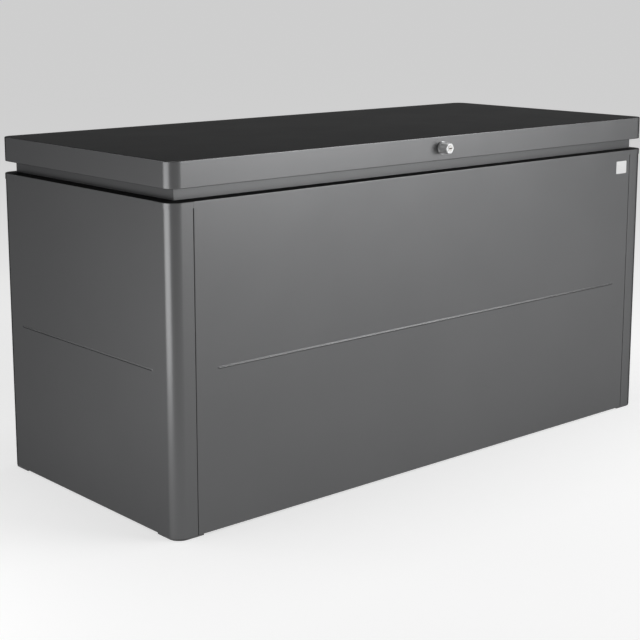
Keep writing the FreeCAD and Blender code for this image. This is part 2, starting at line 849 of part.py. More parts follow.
def left_spring_cylinder():
    tube = round_bar(along_spring(fitting_length), along_spring(cylinder_end), cylinder_radius)
    chamber_start = fitting_length + cylinder_base
    chamber = round_bar(along_spring(chamber_start), along_spring(cylinder_end - gland_length),
                        cylinder_radius - cylinder_wall)
    bore = round_bar(along_spring(chamber_start), along_spring(cylinder_end), rod_radius + running_fit)
    ring = [edge for edge in tube.Edges if abs(edge.Length - 2 * math.pi * cylinder_radius) < 1e-3]
    return tube.makeChamfer(cylinder_chamfer, ring).cut(chamber).cut(bore)


def left_spring_rod():
    start = fitting_length + cylinder_base + piston_start
    piston = round_bar(along_spring(start), along_spring(start + piston_length),
                       cylinder_radius - cylinder_wall - running_fit)
    bar = round_bar(along_spring(start), along_spring(spring_closed - fitting_length), rod_radius)
    return joined([piston, bar])


def left_head_socket():
    across = Vector(socket_width / 2, 0, 0)
    cup = round_bar(head_point - across, head_point + across, socket_radius)
    shank = round_bar(head_point, along_spring(spring_closed - fitting_length), shank_radius)
    return joined([cup, shank])


def left_lid_bracket():
    # angle plate under the lid sheet
    low = spring_head_z - head_bracket_below
    outline = [(-head_bracket_x + head_bracket_flange, lid_under), (-head_bracket_x, lid_under),
               (-head_bracket_x, low)]
    half = head_bracket_width / 2
    plate = sheet_along_y(outline, bracket_sheet, [bracket_bend], spring_head_y - half, spring_head_y + half)
    corners = [edge for edge in edges_at_height(plate, low) if abs(edge.Length - bracket_sheet) < 1e-6]
    plate = plate.makeFillet(head_bracket_corner, corners)
    inward = head_point + Vector(spring_plane, 0, 0)
    return plate.cut(round_bar(head_point, inward, stud_radius + running_fit))


def left_head_stud():
    # stops a running gap short of the socket: this is the pivot where the linkage is opened
    way = Vector(-1, 0, 0)
    tip = head_point - way * (socket_width / 2 + play)
    return stud(Vector(-head_bracket_x, head_point.y, head_point.z), tip, way)


# Lock: the knob turns a crank plate whose two pins push the lock rods outwards, under the keepers

def lock_body():
    # base ring and sleeve, with the bore that the spindle turns in
    axis = Vector(0, 0, lock_z)
    front = axis + Vector(0, rosette_front, 0)
    ring = round_bar(front, axis + Vector(0, skirt_front, 0), rosette_radius)
    end = axis + Vector(0, sleeve_end, 0)
    sleeve = round_bar(front, end, sleeve_radius)
    return joined([ring, sleeve]).cut(round_bar(front, end, spindle_radius + running_fit))


def lock_nut():
    corner_reach = lock_nut_width / math.sqrt(3)
    corners = [Vector(corner_reach * math.cos(math.radians(60 * i)), skirt_back,
                      lock_z + corner_reach * math.sin(math.radians(60 * i))) for i in range(6)]
    hexagon = Part.Face(Part.makePolygon(corners + corners[:1]))
    nut = hexagon.extrude(Vector(0, lock_nut_thickness, 0))
    return nut.cut(round_bar(Vector(0, skirt_front, lock_z), Vector(0, 0, lock_z), sleeve_radius + lip_play))


def knob_section(y, radius):
    # outline of the grip at y, with its lobes and flutes in short straight runs
    reach = (knob_base_radius - flute_depth + flute_radius) * radius / knob_base_radius
    hollow = flute_radius * radius / knob_base_radius
    half_flute = math.acos((reach ** 2 + radius ** 2 - hollow ** 2) / (2 * reach * radius))
    pitch = 2 * math.pi / knob_flutes
    points = []
    for i in range(knob_flutes):
        flute = math.radians(knob_flute_turn) + i * pitch
        for aside in (-half_flute, -half_flute / 2, 0, half_flute / 2):
            dip = math.sqrt(hollow ** 2 - (reach * math.sin(aside)) ** 2)
            points.append((flute + aside, reach * math.cos(aside) - dip))
        points.append((flute + half_flute, radius))
        points.append((flute + pitch / 2, radius))
    corners = [Vector(far * math.cos(angle), y, lock_z + far * math.sin(angle)) for angle, far in points]
    return Part.makePolygon(corners + corners[:1])


def lock_knob():
    # tapered grip with flutes, its spindle, and the square that carries the crank plate
    base = Vector(0, knob_base, lock_z)
    end = Vector(0, knob_end, lock_z)
    sections = [knob_section(knob_base, knob_base_radius), knob_section(knob_end, knob_end_radius)]
    grip = Part.makeLoft(sections, True, True)
    grip = grip.cut(round_bar(end, end + Vector(0, core_length, 0), core_radius + running_fit))
    half = spindle_square / 2
    spindle = round_bar(base, Vector(0, crank_plate_front - play, lock_z), spindle_radius)
    square = block((-half, half), (knob_base, crank_plate_back), (lock_z - half, lock_z + half))
    return joined([grip, spindle, square])


def key_core():
    end = Vector(0, knob_end, lock_z)
    core = round_bar(end - Vector(0, core_proud, 0), end + Vector(0, core_length - play, 0), core_radius)
    slot = block((-key_slot_length / 2, key_slot_length / 2),
                 (knob_end - core_proud, knob_end + key_slot_depth),
                 (lock_z - key_slot_width / 2, lock_z + key_slot_width / 2))
    return core.cut(slot)


def crank_plate():
    front = Vector(0, crank_plate_front, lock_z)
    back = Vector(0, crank_plate_back, lock_z)
    plate = round_bar(front, back, crank_plate_radius)
    half = spindle_square / 2 + lip_play
    plate = plate.cut(block((-half, half), (front.y, back.y), (lock_z - half, lock_z + half)))
    pin_end = rod_back + crank_pin_end
    pins = []
    for side in (1, -1):
        reach = Vector(side * crank_side, 0, side * crank_low)
        pins.append(round_bar(front + reach, Vector(0, pin_end, lock_z) + reach, crank_pin_radius))
    return joined([plate] + pins)


def left_lock_rod():
    # flat bar from the slotted head over the spindle, jogged down to the lock's height, to the tip
    head_top = lock_z + (crank_low + crank_radius) / 2 + rod_bar_width / 2
    bar_top = lock_z + rod_bar_width / 2
    slot_half = crank_pin_radius + slot_play
    slot_z = (lock_z + crank_low - slot_half, lock_z + crank_radius + slot_half)
    head_x = (crank_side - slot_half - rod_head_margin, crank_side + slot_half + rod_head_margin)
    head_z = (slot_z[0] - rod_head_margin, slot_z[1] + rod_head_margin)
    outline = [(crank_side, head_top), (-rod_jog_start, head_top),
               (-rod_jog_end, bar_top), (-rod_tip, bar_top)]
    bar = sheet_along_y(outline, rod_bar_width, [rod_bar_bend] * 2, rod_front, rod_back)
    tip = []
    for edge in bar.Edges:
        if edge.BoundBox.XMax < 1e-6 - rod_tip and edge.BoundBox.ZLength < 1e-6:
            tip.append(edge)
    bar = bar.makeChamfer(rod_bar_tip, tip)
    head = block(head_x, (rod_front, rod_back), head_z)
    slot = block((crank_side - slot_half, crank_side + slot_half), (rod_front, rod_back), slot_z)
    return joined([bar, head]).cut(slot)


def right_lock_rod():
    # the same rod, turned half round the lock axis
    rod = left_lock_rod()
    rod.rotate(Vector(0, 0, lock_z), Vector(0, 1, 0), 180)
    return rod


def rod_guides():
    # moulded guides behind the skirt, open along X for the rod
    high = rod_bar_width / 2 + guide_play
    guides = []
    for place in guide_places:
        for side in (-1, 1):
            x = (side * place - guide_width / 2, side * place + guide_width / 2)
            body = block(x, (skirt_back, rod_back + guide_play + guide_wall),
                         (lock_z - high - guide_wall, lock_z + high + guide_wall))
            way = block(x, (rod_front - guide_play, rod_back + guide_play), (lock_z - high, lock_z + high))
            guides.append(body.cut(way))
    return guides


def keeper_rivet_places():
    # heads of the left keeper's two rivets
    middle = -keeper_start - keeper_width / 2
    z = keeper_top - keeper_drop + keeper_rivet_rise
    return [Vector(middle + side * keeper_rivet_spread / 2, -neck_y - keeper_sheet, z) for side in (-1, 1)]


def left_keeper():
    # angle on the neck whose tongue stands over the rod's path
    outline = [(-neck_y, keeper_top - keeper_drop), (-neck_y, keeper_top),
               (-neck_y - keeper_reach, keeper_top)]
    keeper = sheet_along_x(outline, keeper_sheet, [keeper_bend], -keeper_start - keeper_width, -keeper_start)
    return drilled(keeper, keeper_rivet_places(), Vector(0, 1, 0), keeper_sheet)


def keeper_rivets():
    left = [rivet(place, Vector(0, 1, 0), keeper_sheet + sheet) for place in keeper_rivet_places()]
    return left + [mirrored_x(one) for one in left]


# Every piece under the name of its file

def left_and_right(name, shape):
    return {"left_" + name: shape, "right_" + name: mirrored_x(shape)}


def four_corners(name, shape):
    rear = mirrored_y(shape)
    return {
        "front_left_" + name: shape,
        "front_right_" + name: mirrored_x(shape),
        "rear_left_" + name: rear,
        "rear_right_" + name: mirrored_x(rear),
    }


def body_pieces():
    front = front_wall()
    pieces = {"front_wall": front, "rear_wall": mirrored_y(front)}
    pieces.update(left_and_right("side_wall", left_side_wall()))
    pieces["seam_rivets"] = seam_rivets()
    pieces["front_top_rail"] = front_top_rail()
    pieces["rear_top_rail"] = rear_top_rail()
    pieces.update(left_and_right("top_rail", left_top_rail()))
    pieces.update(four_corners("corner_cap", front_left_corner_cap()))
    pieces["lid_seal"] = lid_seal()
    pieces["floor_panel"] = floor_panel()
    for name, rail_x in zip(("left", "middle", "right"), floor_rail_places):
        pieces[name + "_floor_rail"] = floor_rail(rail_x)
    pieces["floor_rivets"] = floor_rivets()
    pieces.update(four_corners("foot", front_left_foot()))
    pieces["foot_screws"] = foot_screws()
    pieces["hinge_body_leaves"] = [hinge_body_leaf(x) for x in hinge_places]
    pieces["hinge_pins"] = [hinge_pin(x) for x in hinge_places]
    pieces["hinge_body_rivets"] = [rivet(place, Vector(0, -1, 0), hinge_leaf + sheet)
                                   for place in body_leaf_rivet_places()]
    pieces.update(left_and_right("spring_bracket", left_spring_bracket()))
    pieces["spring_foot_studs"] = [left_foot_stud(), mirrored_x(left_foot_stud())]
    pieces.update(left_and_right("keeper", left_keeper()))
    pieces["keeper_rivets"] = keeper_rivets()
    return pieces


def lid_pieces():
    front = front_lid_frame()
    pieces = {"lid_shell": lid_shell(), "front_lid_frame": front, "rear_lid_frame": mirrored_y(front)}
    pieces.update(left_and_right("lid_frame", left_lid_frame()))
    pieces["lid_stiffeners"] = lid_stiffeners()
    pieces["hinge_lid_leaves"] = [hinge_lid_leaf(x) for x in hinge_places]
    pieces["hinge_lid_rivets"] = [rivet(place, Vector(0, -1, 0), sheet + hinge_leaf)
                                  for place in lid_leaf_rivet_places()]
    pieces.update(left_and_right("lid_bracket", left_lid_bracket()))
    pieces["spring_head_studs"] = [left_head_stud(), mirrored_x(left_head_stud())]
    pieces["lock_body"] = lock_body()
    pieces["lock_nut"] = lock_nut()
    pieces["rod_guides"] = rod_guides()
    return pieces


def moving_pieces():
    pieces = {"lock_knob": lock_knob(), "crank_plate": crank_plate(), "key_core": key_core()}
    pieces["left_lock_rod"] = left_lock_rod()
    pieces["right_lock_rod"] = right_lock_rod()
    pieces.update(left_and_right("foot_socket", left_foot_socket()))
    pieces.update(left_and_right("spring_cylinder", left_spring_cylinder()))
    pieces.update(left_and_right("spring_rod", left_spring_rod()))
    pieces.update(left_and_right("head_socket", left_head_socket()))
    return pieces


def write_pieces():
    os.makedirs("parts", exist_ok=True)
    for group in (body_pieces(), lid_pieces(), moving_pieces()):
        for name, shape in group.items():
            solids = shape if isinstance(shape, list) else [shape]
            piece = Part.makeCompound(solids) if len(solids) > 1 else solids[0]
            print(name, len(piece.Solids), "valid" if piece.isValid() else "NOT VALID", round(piece.Volume))
            piece.exportStep("parts/" + name + ".step")


write_pieces()
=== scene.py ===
import json
import math
import bmesh
import bpy
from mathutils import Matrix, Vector

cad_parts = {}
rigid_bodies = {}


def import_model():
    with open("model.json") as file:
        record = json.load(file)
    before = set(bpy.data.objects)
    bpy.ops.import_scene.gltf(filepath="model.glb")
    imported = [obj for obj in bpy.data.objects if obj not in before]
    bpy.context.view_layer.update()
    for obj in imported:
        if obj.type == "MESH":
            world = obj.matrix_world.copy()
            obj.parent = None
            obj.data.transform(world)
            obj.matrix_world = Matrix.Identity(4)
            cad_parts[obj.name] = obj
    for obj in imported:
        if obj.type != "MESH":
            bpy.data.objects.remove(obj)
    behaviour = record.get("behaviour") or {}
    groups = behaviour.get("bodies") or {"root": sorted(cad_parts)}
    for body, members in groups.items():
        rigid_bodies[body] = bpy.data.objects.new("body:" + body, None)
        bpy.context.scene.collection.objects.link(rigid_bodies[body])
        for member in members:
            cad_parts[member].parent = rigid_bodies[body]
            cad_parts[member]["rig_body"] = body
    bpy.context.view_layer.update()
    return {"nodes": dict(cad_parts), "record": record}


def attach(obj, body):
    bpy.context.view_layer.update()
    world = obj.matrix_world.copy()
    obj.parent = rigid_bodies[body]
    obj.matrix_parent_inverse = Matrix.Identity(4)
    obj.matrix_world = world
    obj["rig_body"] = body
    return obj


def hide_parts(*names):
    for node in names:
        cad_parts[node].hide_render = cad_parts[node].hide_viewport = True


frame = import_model()
cadNodes = frame["nodes"]
nodeSlot = {row["node"]: row["material_slot"] for row in frame["record"]["subparts"]}
mm = 0.001
print("frame loaded")


# helpers for materials

def newMaterial(name, baseColor, roughness, metallic=0.0, **constants):
    material = bpy.data.materials.new(name)
    material.use_nodes = True
    tree = material.node_tree
    shader = tree.nodes["Principled BSDF"]
    shader.inputs["Base Color"].default_value = (*baseColor, 1)
    shader.inputs["Roughness"].default_value = roughness
    shader.inputs["Metallic"].default_value = metallic
    for socket, value in constants.items():
        shader.inputs[socket].default_value = value
    return material, tree, shader


def addNode(tree, kind, **settings):
    node = tree.nodes.new(kind)
    for key, value in settings.items():
        if key in node.inputs:
            node.inputs[key].default_value = value
        else:
            setattr(node, key, value)
    return node


def treeLinks(tree, *pairs):
    for output, socket in pairs:
        tree.links.new(output, socket)


def patternPlace(tree, stretch=(1, 1, 1)):
    # metres on the piece itself, so a pattern stays put when the piece moves
    place = addNode(tree, "ShaderNodeTexCoord")
    mapping = addNode(tree, "ShaderNodeMapping", Scale=stretch)
    tree.links.new(place.outputs["Object"], mapping.inputs["Vector"])
    return mapping.outputs["Vector"]


def noiseValue(tree, scale, detail=2.0, stretch=(1, 1, 1)):
    noise = addNode(tree, "ShaderNodeTexNoise", Scale=scale, Detail=detail)
    tree.links.new(patternPlace(tree, stretch), noise.inputs["Vector"])
    return noise.outputs["Fac"]


def toRange(tree, value, low, high, fromLow=0.3, fromHigh=0.7):
    node = addNode(tree, "ShaderNodeMapRange")
    for socket, number in (("From Min", fromLow), ("From Max", fromHigh), ("To Min", low), ("To Max", high)):
        node.inputs[socket].default_value = number
    tree.links.new(value, node.inputs["Value"])
    return node.outputs["Result"]


def toColor(tree, value, low, high, fromLow=0.3, fromHigh=0.7):
    node = addNode(tree, "ShaderNodeValToRGB")
    ends = node.color_ramp.elements
    ends[0].position, ends[1].position = fromLow, fromHigh
    ends[0].color, ends[1].color = (*low, 1), (*high, 1)
    tree.links.new(value, node.inputs["Fac"])
    return node.outputs["Color"]


def addBump(tree, shader, height, strength, distance):
    bump = addNode(tree, "ShaderNodeBump", Strength=strength, Distance=distance)
    tree.links.new(height, bump.inputs["Height"])
    tree.links.new(bump.outputs["Normal"], shader.inputs["Normal"])


def variedFinish(name, look):
    # shade and roughness drift over patches and a fine grain stands in relief, each where the look has it
    base = look.get("base") or look["shades"][0]
    material, tree, shader = newMaterial(name, base, look["roughness"], look.get("metallic", 0.0),
                                         **look.get("constants", {}))
    if "shades" in look:
        patches = toColor(tree, noiseValue(tree, **look["shadeNoise"]), *look["shades"])
        tree.links.new(patches, shader.inputs["Base Color"])
    if "roughRange" in look:
        patches = toRange(tree, noiseValue(tree, **look["roughNoise"]), *look["roughRange"])
        tree.links.new(patches, shader.inputs["Roughness"])
    if "grain" in look:
        grain = look["grain"]
        addBump(tree, shader, noiseValue(tree, grain["scale"]), grain["strength"], grain["height"])
    return material


# powder coat: metallic graphite, faint clouds, fine orange peel
coatLook = {"shades": ((0.132, 0.133, 0.135), (0.142, 0.143, 0.145)),
            "shadeNoise": {"scale": 1.7, "detail": 4.0}, "roughness": 0.4, "roughRange": (0.31, 0.34),
            "roughNoise": {"scale": 9, "detail": 3.0}, "metallic": 0.85,
            "constants": {"Specular Tint": (0.03, 0.03, 0.03, 1), "Specular IOR Level": 0.0},
            "grain": {"scale": 700, "strength": 0.2, "height": 0.00005}}
coatMaterial = variedFinish("graphitePowderCoat", coatLook)

# the rim's neck: the same coat with its colour painted a little darker, painted shade where the lid overhangs
# it
neckPaintedShadeLook = {**coatLook, "shades": ((0.113, 0.114, 0.116), (0.122, 0.123, 0.125))}
neckPaintedShadeMaterial = variedFinish("neckPowderCoatPaintedShade", neckPaintedShadeLook)

# the inside and the undersides: the same coat, rougher and less metallic, with its colour painted lighter as
# painted light where the lamps barely reach
innerPaintedLightLook = {**coatLook, "shades": ((0.15, 0.151, 0.153), (0.172, 0.173, 0.175)),
                 "roughRange": (0.46, 0.54), "metallic": 0.25,
                 "constants": {**coatLook["constants"], "Specular IOR Level": 0.3}}
innerPaintedLightMaterial = variedFinish("innerPowderCoatPaintedLight", innerPaintedLightLook)

# galvanised sheet: spangle flakes a centimetre or so across
zincLook = {"shades": ((0.36, 0.37, 0.38), (0.52, 0.53, 0.54)), "flakeScale": 85, "roughness": 0.42,
            "roughRange": (0.34, 0.5), "metallic": 0.85}
zincMaterial, tree, shader = newMaterial("galvanisedSheet", zincLook["shades"][0], zincLook["roughness"],
                                         zincLook["metallic"])
flakes = addNode(tree, "ShaderNodeTexVoronoi", Scale=zincLook["flakeScale"])
flakeShade = addNode(tree, "ShaderNodeSeparateColor")
treeLinks(
    tree,
    (patternPlace(tree), flakes.inputs["Vector"]),
    (flakes.outputs["Color"], flakeShade.inputs["Color"]),
    (toColor(tree, flakeShade.outputs["Red"], *zincLook["shades"], 0, 1), shader.inputs["Base Color"]),
    (toRange(tree, flakeShade.outputs["Green"], *zincLook["roughRange"], 0, 1), shader.inputs["Roughness"]),
)

# lock knob and the ring under it: satin plating
knobLook = {"base": (0.78, 0.785, 0.79), "roughness": 0.4, "metallic": 0.35,
            "roughRange": (0.42, 0.52), "roughNoise": {"scale": 260, "detail": 3.0},
            "grain": {"scale": 900, "strength": 0.08, "height": 0.00003}}
knobMaterial = variedFinish("satinKnobPlate", knobLook)

# gas spring rods: polished along their length
rodLook = {"base": (0.72, 0.73, 0.74), "roughness": 0.12, "metallic": 1.0,
           "roughRange": (0.08, 0.18), "roughNoise": {"scale": 500, "stretch": (1, 1, 0.05)}}
rodMaterial = variedFinish("polishedRod", rodLook)

# key core: nickel
nickelLook = {"base": (0.56, 0.55, 0.53), "roughness": 0.4, "metallic": 0.35,
              "roughRange": (0.34, 0.46), "roughNoise": {"scale": 800, "detail": 3.0}}
nickelMaterial = variedFinish("nickelCore", nickelLook)

# gas spring cylinders: satin black paint
cylinderLook = {"base": (0.020, 0.020, 0.021), "roughness": 0.32,
                "shades": ((0.017, 0.017, 0.018), (0.026, 0.026, 0.027)),
                "shadeNoise": {"scale": 40, "detail": 3.0}, "roughRange": (0.26, 0.38),
                "roughNoise": {"scale": 60, "detail": 3.0},
                "grain": {"scale": 650, "strength": 0.15, "height": 0.00005}}
cylinderMaterial = variedFinish("satinBlackPaint", cylinderLook)

# sockets and rod guides: moulded nylon
nylonLook = {"base": (0.026, 0.026, 0.027), "roughness": 0.5,
             "shades": ((0.022, 0.022, 0.023), (0.034, 0.034, 0.035)),
             "shadeNoise": {"scale": 70, "detail": 3.0}, "roughRange": (0.44, 0.58),
             "roughNoise": {"scale": 90, "detail": 3.0},
             "grain": {"scale": 2200, "strength": 0.3, "height": 0.00005}}
nylonMaterial = variedFinish("blackNylon", nylonLook)

# corner feet: grey plastic
footLook = {"base": (0.10, 0.10, 0.102), "roughness": 0.55,
            "shades": ((0.09, 0.09, 0.092), (0.115, 0.115, 0.117)),
            "shadeNoise": {"scale": 50, "detail": 3.0},
            "grain": {"scale": 1800, "strength": 0.3, "height": 0.00005}}
footMaterial = variedFinish("greyFootPlastic", footLook)

# lid seal: foam rubber with open pores
foamLook = {"base": (0.018, 0.018, 0.018), "roughness": 0.9, "poreScale": 900, "poreSpan": (0.1, 0.6),
            "shades": ((0.008, 0.008, 0.008), (0.032, 0.032, 0.032)), "strength": 0.5, "height": 0.0002}
foamMaterial, tree, shader = newMaterial("foamRubber", foamLook["base"], foamLook["roughness"])
pores = addNode(tree, "ShaderNodeTexVoronoi", Scale=foamLook["poreScale"])
treeLinks(
    tree,
    (patternPlace(tree), pores.inputs["Vector"]),
    (toColor(tree, pores.outputs["Distance"], *foamLook["shades"], *foamLook["poreSpan"]),
     shader.inputs["Base Color"]),
)
addBump(tree, shader, pores.outputs["Distance"], foamLook["strength"], foamLook["height"])

# plain plate: faint streaks along its length
plateLook = {"roughness": 0.38, "metallic": 0.3, "shades": ((0.62, 0.62, 0.62), (0.70, 0.70, 0.70)),
             "shadeNoise": {"scale": 60, "stretch": (1, 1, 30)}}
plateMaterial = variedFinish("plainPlate", plateLook)

slotFinish = {"wall_steel": coatMaterial, "rim_steel": coatMaterial, "lid_steel": coatMaterial,
              "galvanised_steel": zincMaterial, "bright_steel": rodMaterial, "black_steel": cylinderMaterial,
              "black_plastic": nylonMaterial, "knob_metal": knobMaterial, "foot_plastic": footMaterial,
              "lock_metal": nickelMaterial, "seal_rubber": foamMaterial}
print("finishes made")


# helpers for pieces

# which points are one, which angles are flat, folded or bevelled, and which faces look in or down
meshLook = {"merge": 2e-6, "weld": 1e-7, "flatAngle": 0.3, "crispAngle": 32.0, "bevelAngle": 40.0,
            "bevelSteps": 2, "inward": 0.0001, "downward": 0.7}


def addPiece(name, mesh, body, material=None, replaced=()):
    piece = bpy.data.objects.new(name, mesh)
    bpy.context.scene.collection.objects.link(piece)
    if material is not None:
        mesh.materials.clear()
        mesh.materials.append(material)
    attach(piece, body)
    if replaced:
        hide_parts(*replaced)
    return piece


def nodePiece(name, nodeName, mesh, painted=False):
    # stands in for one node, with its body and, if the mesh isn't painted yet, the finish that the node's
    # slot names
    slot = nodeSlot[nodeName]
    material = None if painted else slotFinish[slot]
    return addPiece(name, mesh, cadNodes[nodeName]["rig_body"], material, (nodeName,))


def shadeByAngle(data, degrees=meshLook["crispAngle"]):
    # round where the faces turn gently, crisp at every sharper edge
    mesh = bmesh.new()
    mesh.from_mesh(data)
    limit = math.radians(degrees)
    for edge in mesh.edges:
        edge.smooth = len(edge.link_faces) == 2 and edge.calc_face_angle(math.pi) < limit
    for face in mesh.faces:
        face.smooth = True
    mesh.to_mesh(data)
    mesh.free()


def mergedMesh(nodeName):
    mesh = bmesh.new()
    mesh.from_mesh(cadNodes[nodeName].data)
    bmesh.ops.remove_doubles(mesh, verts=mesh.verts, dist=meshLook["merge"])
    return mesh


def evenShading(piece):
    weighted = piece.modifiers.new("evenShading", "WEIGHTED_NORMAL")
    weighted.keep_sharp = True


def coatSides(data, underside, neck=None):
    # the sheet's inner side and undersides get the inner coat painted lighter as painted light, and the rim's
    # upright neck gets the coat painted darker as painted shade; neck is how far out that neck stands
    data.materials.clear()
    for material in (coatMaterial, innerPaintedLightMaterial, neckPaintedShadeMaterial)[:3 if neck else 2]:
        data.materials.append(material)
    for face in data.polygons:
        middle, way = face.center, face.normal
        inward = way.x * middle.x + way.y * middle.y < -meshLook["inward"]
        below = way.z < -meshLook["downward"] and middle.z > underside
        onPaintedShadeNeck = neck and abs(middle.x) < neck[0] and abs(middle.y) < neck[1]
        # index 1 is the painted light inside, index 2 the painted shade on the neck
        face.material_index = 1 if inward or below else 2 if onPaintedShadeNeck else 0


def smoothCopy(nodeName, edge=0.0, reshape=None):
    # the node's own shape with shared corners, round where it is round and crisp at its folds
    mesh = mergedMesh(nodeName)
    bmesh.ops.dissolve_limit(mesh, angle_limit=math.radians(meshLook["flatAngle"]), verts=mesh.verts,
                             edges=mesh.edges)
    if reshape:
        reshape(mesh, nodeName)
    data = bpy.data.meshes.new(nodeName + "Mesh")
    mesh.to_mesh(data)
    mesh.free()
    shadeByAngle(data)
    piece = nodePiece(nodeName + "Finished", nodeName, data)
    if edge:
        bevel = piece.modifiers.new("softEdge", "BEVEL")
        bevel.width = edge
        bevel.segments = meshLook["bevelSteps"]
        bevel.limit_method = "ANGLE"
        bevel.angle_limit = math.radians(meshLook["bevelAngle"])
        bevel.harden_normals = True
    evenShading(piece)
    return piece


def solidsOf(nodeName):
    # the separate solids of a node, each as a list of its corner points
    mesh = mergedMesh(nodeName)
    seen, groups = set(), []
    for first in mesh.verts:
        if first in seen:
            continue
        seen.add(first)
        pending, group = [first], []
        while pending:
            vert = pending.pop()
            group.append(vert.co.copy())
            for edge in vert.link_edges:
                other = edge.other_vert(vert)
                if other not in seen:
                    seen.add(other)
                    pending.append(other)
        groups.append(group)
    mesh.free()
    return groups


# helpers for geometry nodes

def newTree(name, inputs):
    tree = bpy.data.node_groups.new(name, "GeometryNodeTree")
    tree.interface.new_socket(name="Geometry", in_out="INPUT", socket_type="NodeSocketGeometry")
    for label, kind, value in inputs:
        socket = tree.interface.new_socket(name=label, in_out="INPUT", socket_type=kind)
        if value is not None:
            socket.default_value = value
    tree.interface.new_socket(name="Geometry", in_out="OUTPUT", socket_type="NodeSocketGeometry")
    return tree, tree.nodes.new("NodeGroupInput"), tree.nodes.new("NodeGroupOutput")


def calculated(tree, operation, first, second):
    node = addNode(tree, "ShaderNodeMath", operation=operation)
    for socket, value in zip(node.inputs, (first, second)):
        if isinstance(value, (int, float)):
            socket.default_value = value
        else:
            tree.links.new(value, socket)
    return node.outputs[0]


def finishTree(tree, source, target, geometry):
    # every tree ends the same way: real geometry with its material set
    realize = addNode(tree, "GeometryNodeRealizeInstances")
    paint = addNode(tree, "GeometryNodeSetMaterial")
    treeLinks(
        tree,
        (geometry, realize.inputs["Geometry"]),
        (realize.outputs["Geometry"], paint.inputs["Geometry"]),
        (source.outputs["Finish"], paint.inputs["Material"]),
        (paint.outputs["Geometry"], target.inputs["Geometry"]),
    )


def grow(name, mesh, tree, values):
    # runs a tree on a mesh and returns the result as a plain mesh; other inputs keep the tree's own values
    seed = bpy.data.objects.new(name + "Seed", mesh)
    bpy.context.scene.collection.objects.link(seed)
    modifier = seed.modifiers.new(tree.name, "NODES")
    modifier.node_group = tree
    for item in tree.interface.items_tree:
        if item.in_out == "INPUT" and item.name in values:
            modifier[item.identifier] = values[item.name]
    depsgraph = bpy.context.evaluated_depsgraph_get()
    grown = bpy.data.meshes.new_from_object(seed.evaluated_get(depsgraph))
    grown.name = name + "Mesh"
    seed.modifiers.clear()
    bpy.data.objects.remove(seed)
    return grown


# rivets and screws: one tree, a domed head on each place of a node's own fasteners
rivetLook = {"headRadius": 3.8 * mm, "headHeight": 1.3 * mm, "headBeyond": 3.5 * mm, "shankRadius": 2.0 * mm,
             "shankLength": 2.0 * mm, "tailRadius": 2.9 * mm, "tailHeight": 1.2 * mm, "tailTaper": 0.8,
             "headSteps": (16, 8), "shankSteps": 12}
rivetTree, source, target = newTree("domeRivets", [
    ("Head Radius", "NodeSocketFloat", rivetLook["headRadius"]),
    ("Head Height", "NodeSocketFloat", rivetLook["headHeight"]),
    ("Shank Radius", "NodeSocketFloat", rivetLook["shankRadius"]),
    ("Shank Length", "NodeSocketFloat", rivetLook["shankLength"]),
    ("Tail Radius", "NodeSocketFloat", rivetLook["tailRadius"]),
    ("Tail Height", "NodeSocketFloat", rivetLook["tailHeight"]),
    ("Finish", "NodeSocketMaterial", None)])
inputs = source.outputs
facing = addNode(rivetTree, "GeometryNodeInputNamedAttribute", data_type="FLOAT_VECTOR")
facing.inputs["Name"].default_value = "facing"
turn = addNode(rivetTree, "FunctionNodeAlignRotationToVector", axis="Z")
head = addNode(rivetTree, "GeometryNodeMeshUVSphere", Segments=rivetLook["headSteps"][0],
               Rings=rivetLook["headSteps"][1])
headSize = addNode(rivetTree, "ShaderNodeCombineXYZ", X=1.0, Y=1.0)
headShape = addNode(rivetTree, "GeometryNodeTransform")
shank = addNode(rivetTree, "GeometryNodeMeshCylinder", Vertices=rivetLook["shankSteps"])
shankPlace = addNode(rivetTree, "ShaderNodeCombineXYZ")
shankShape = addNode(rivetTree, "GeometryNodeTransform")
tail = addNode(rivetTree, "GeometryNodeMeshCone", Vertices=rivetLook["shankSteps"])
tailPlace = addNode(rivetTree, "ShaderNodeCombineXYZ")
tailShape = addNode(rivetTree, "GeometryNodeTransform")
whole = addNode(rivetTree, "GeometryNodeJoinGeometry")
places = addNode(rivetTree, "GeometryNodeInstanceOnPoints")
rounded = addNode(rivetTree, "GeometryNodeSetShadeSmooth")
flatness = calculated(rivetTree, "DIVIDE", inputs["Head Height"], inputs["Head Radius"])
shankMiddle = calculated(rivetTree, "MULTIPLY", inputs["Shank Length"], -0.5)
shankEnd = calculated(rivetTree, "MULTIPLY", inputs["Shank Length"], -1.0)
tailEnd = calculated(rivetTree, "SUBTRACT", shankEnd, inputs["Tail Height"])
tailRadius = calculated(rivetTree, "MULTIPLY", inputs["Tail Radius"], rivetLook["tailTaper"])
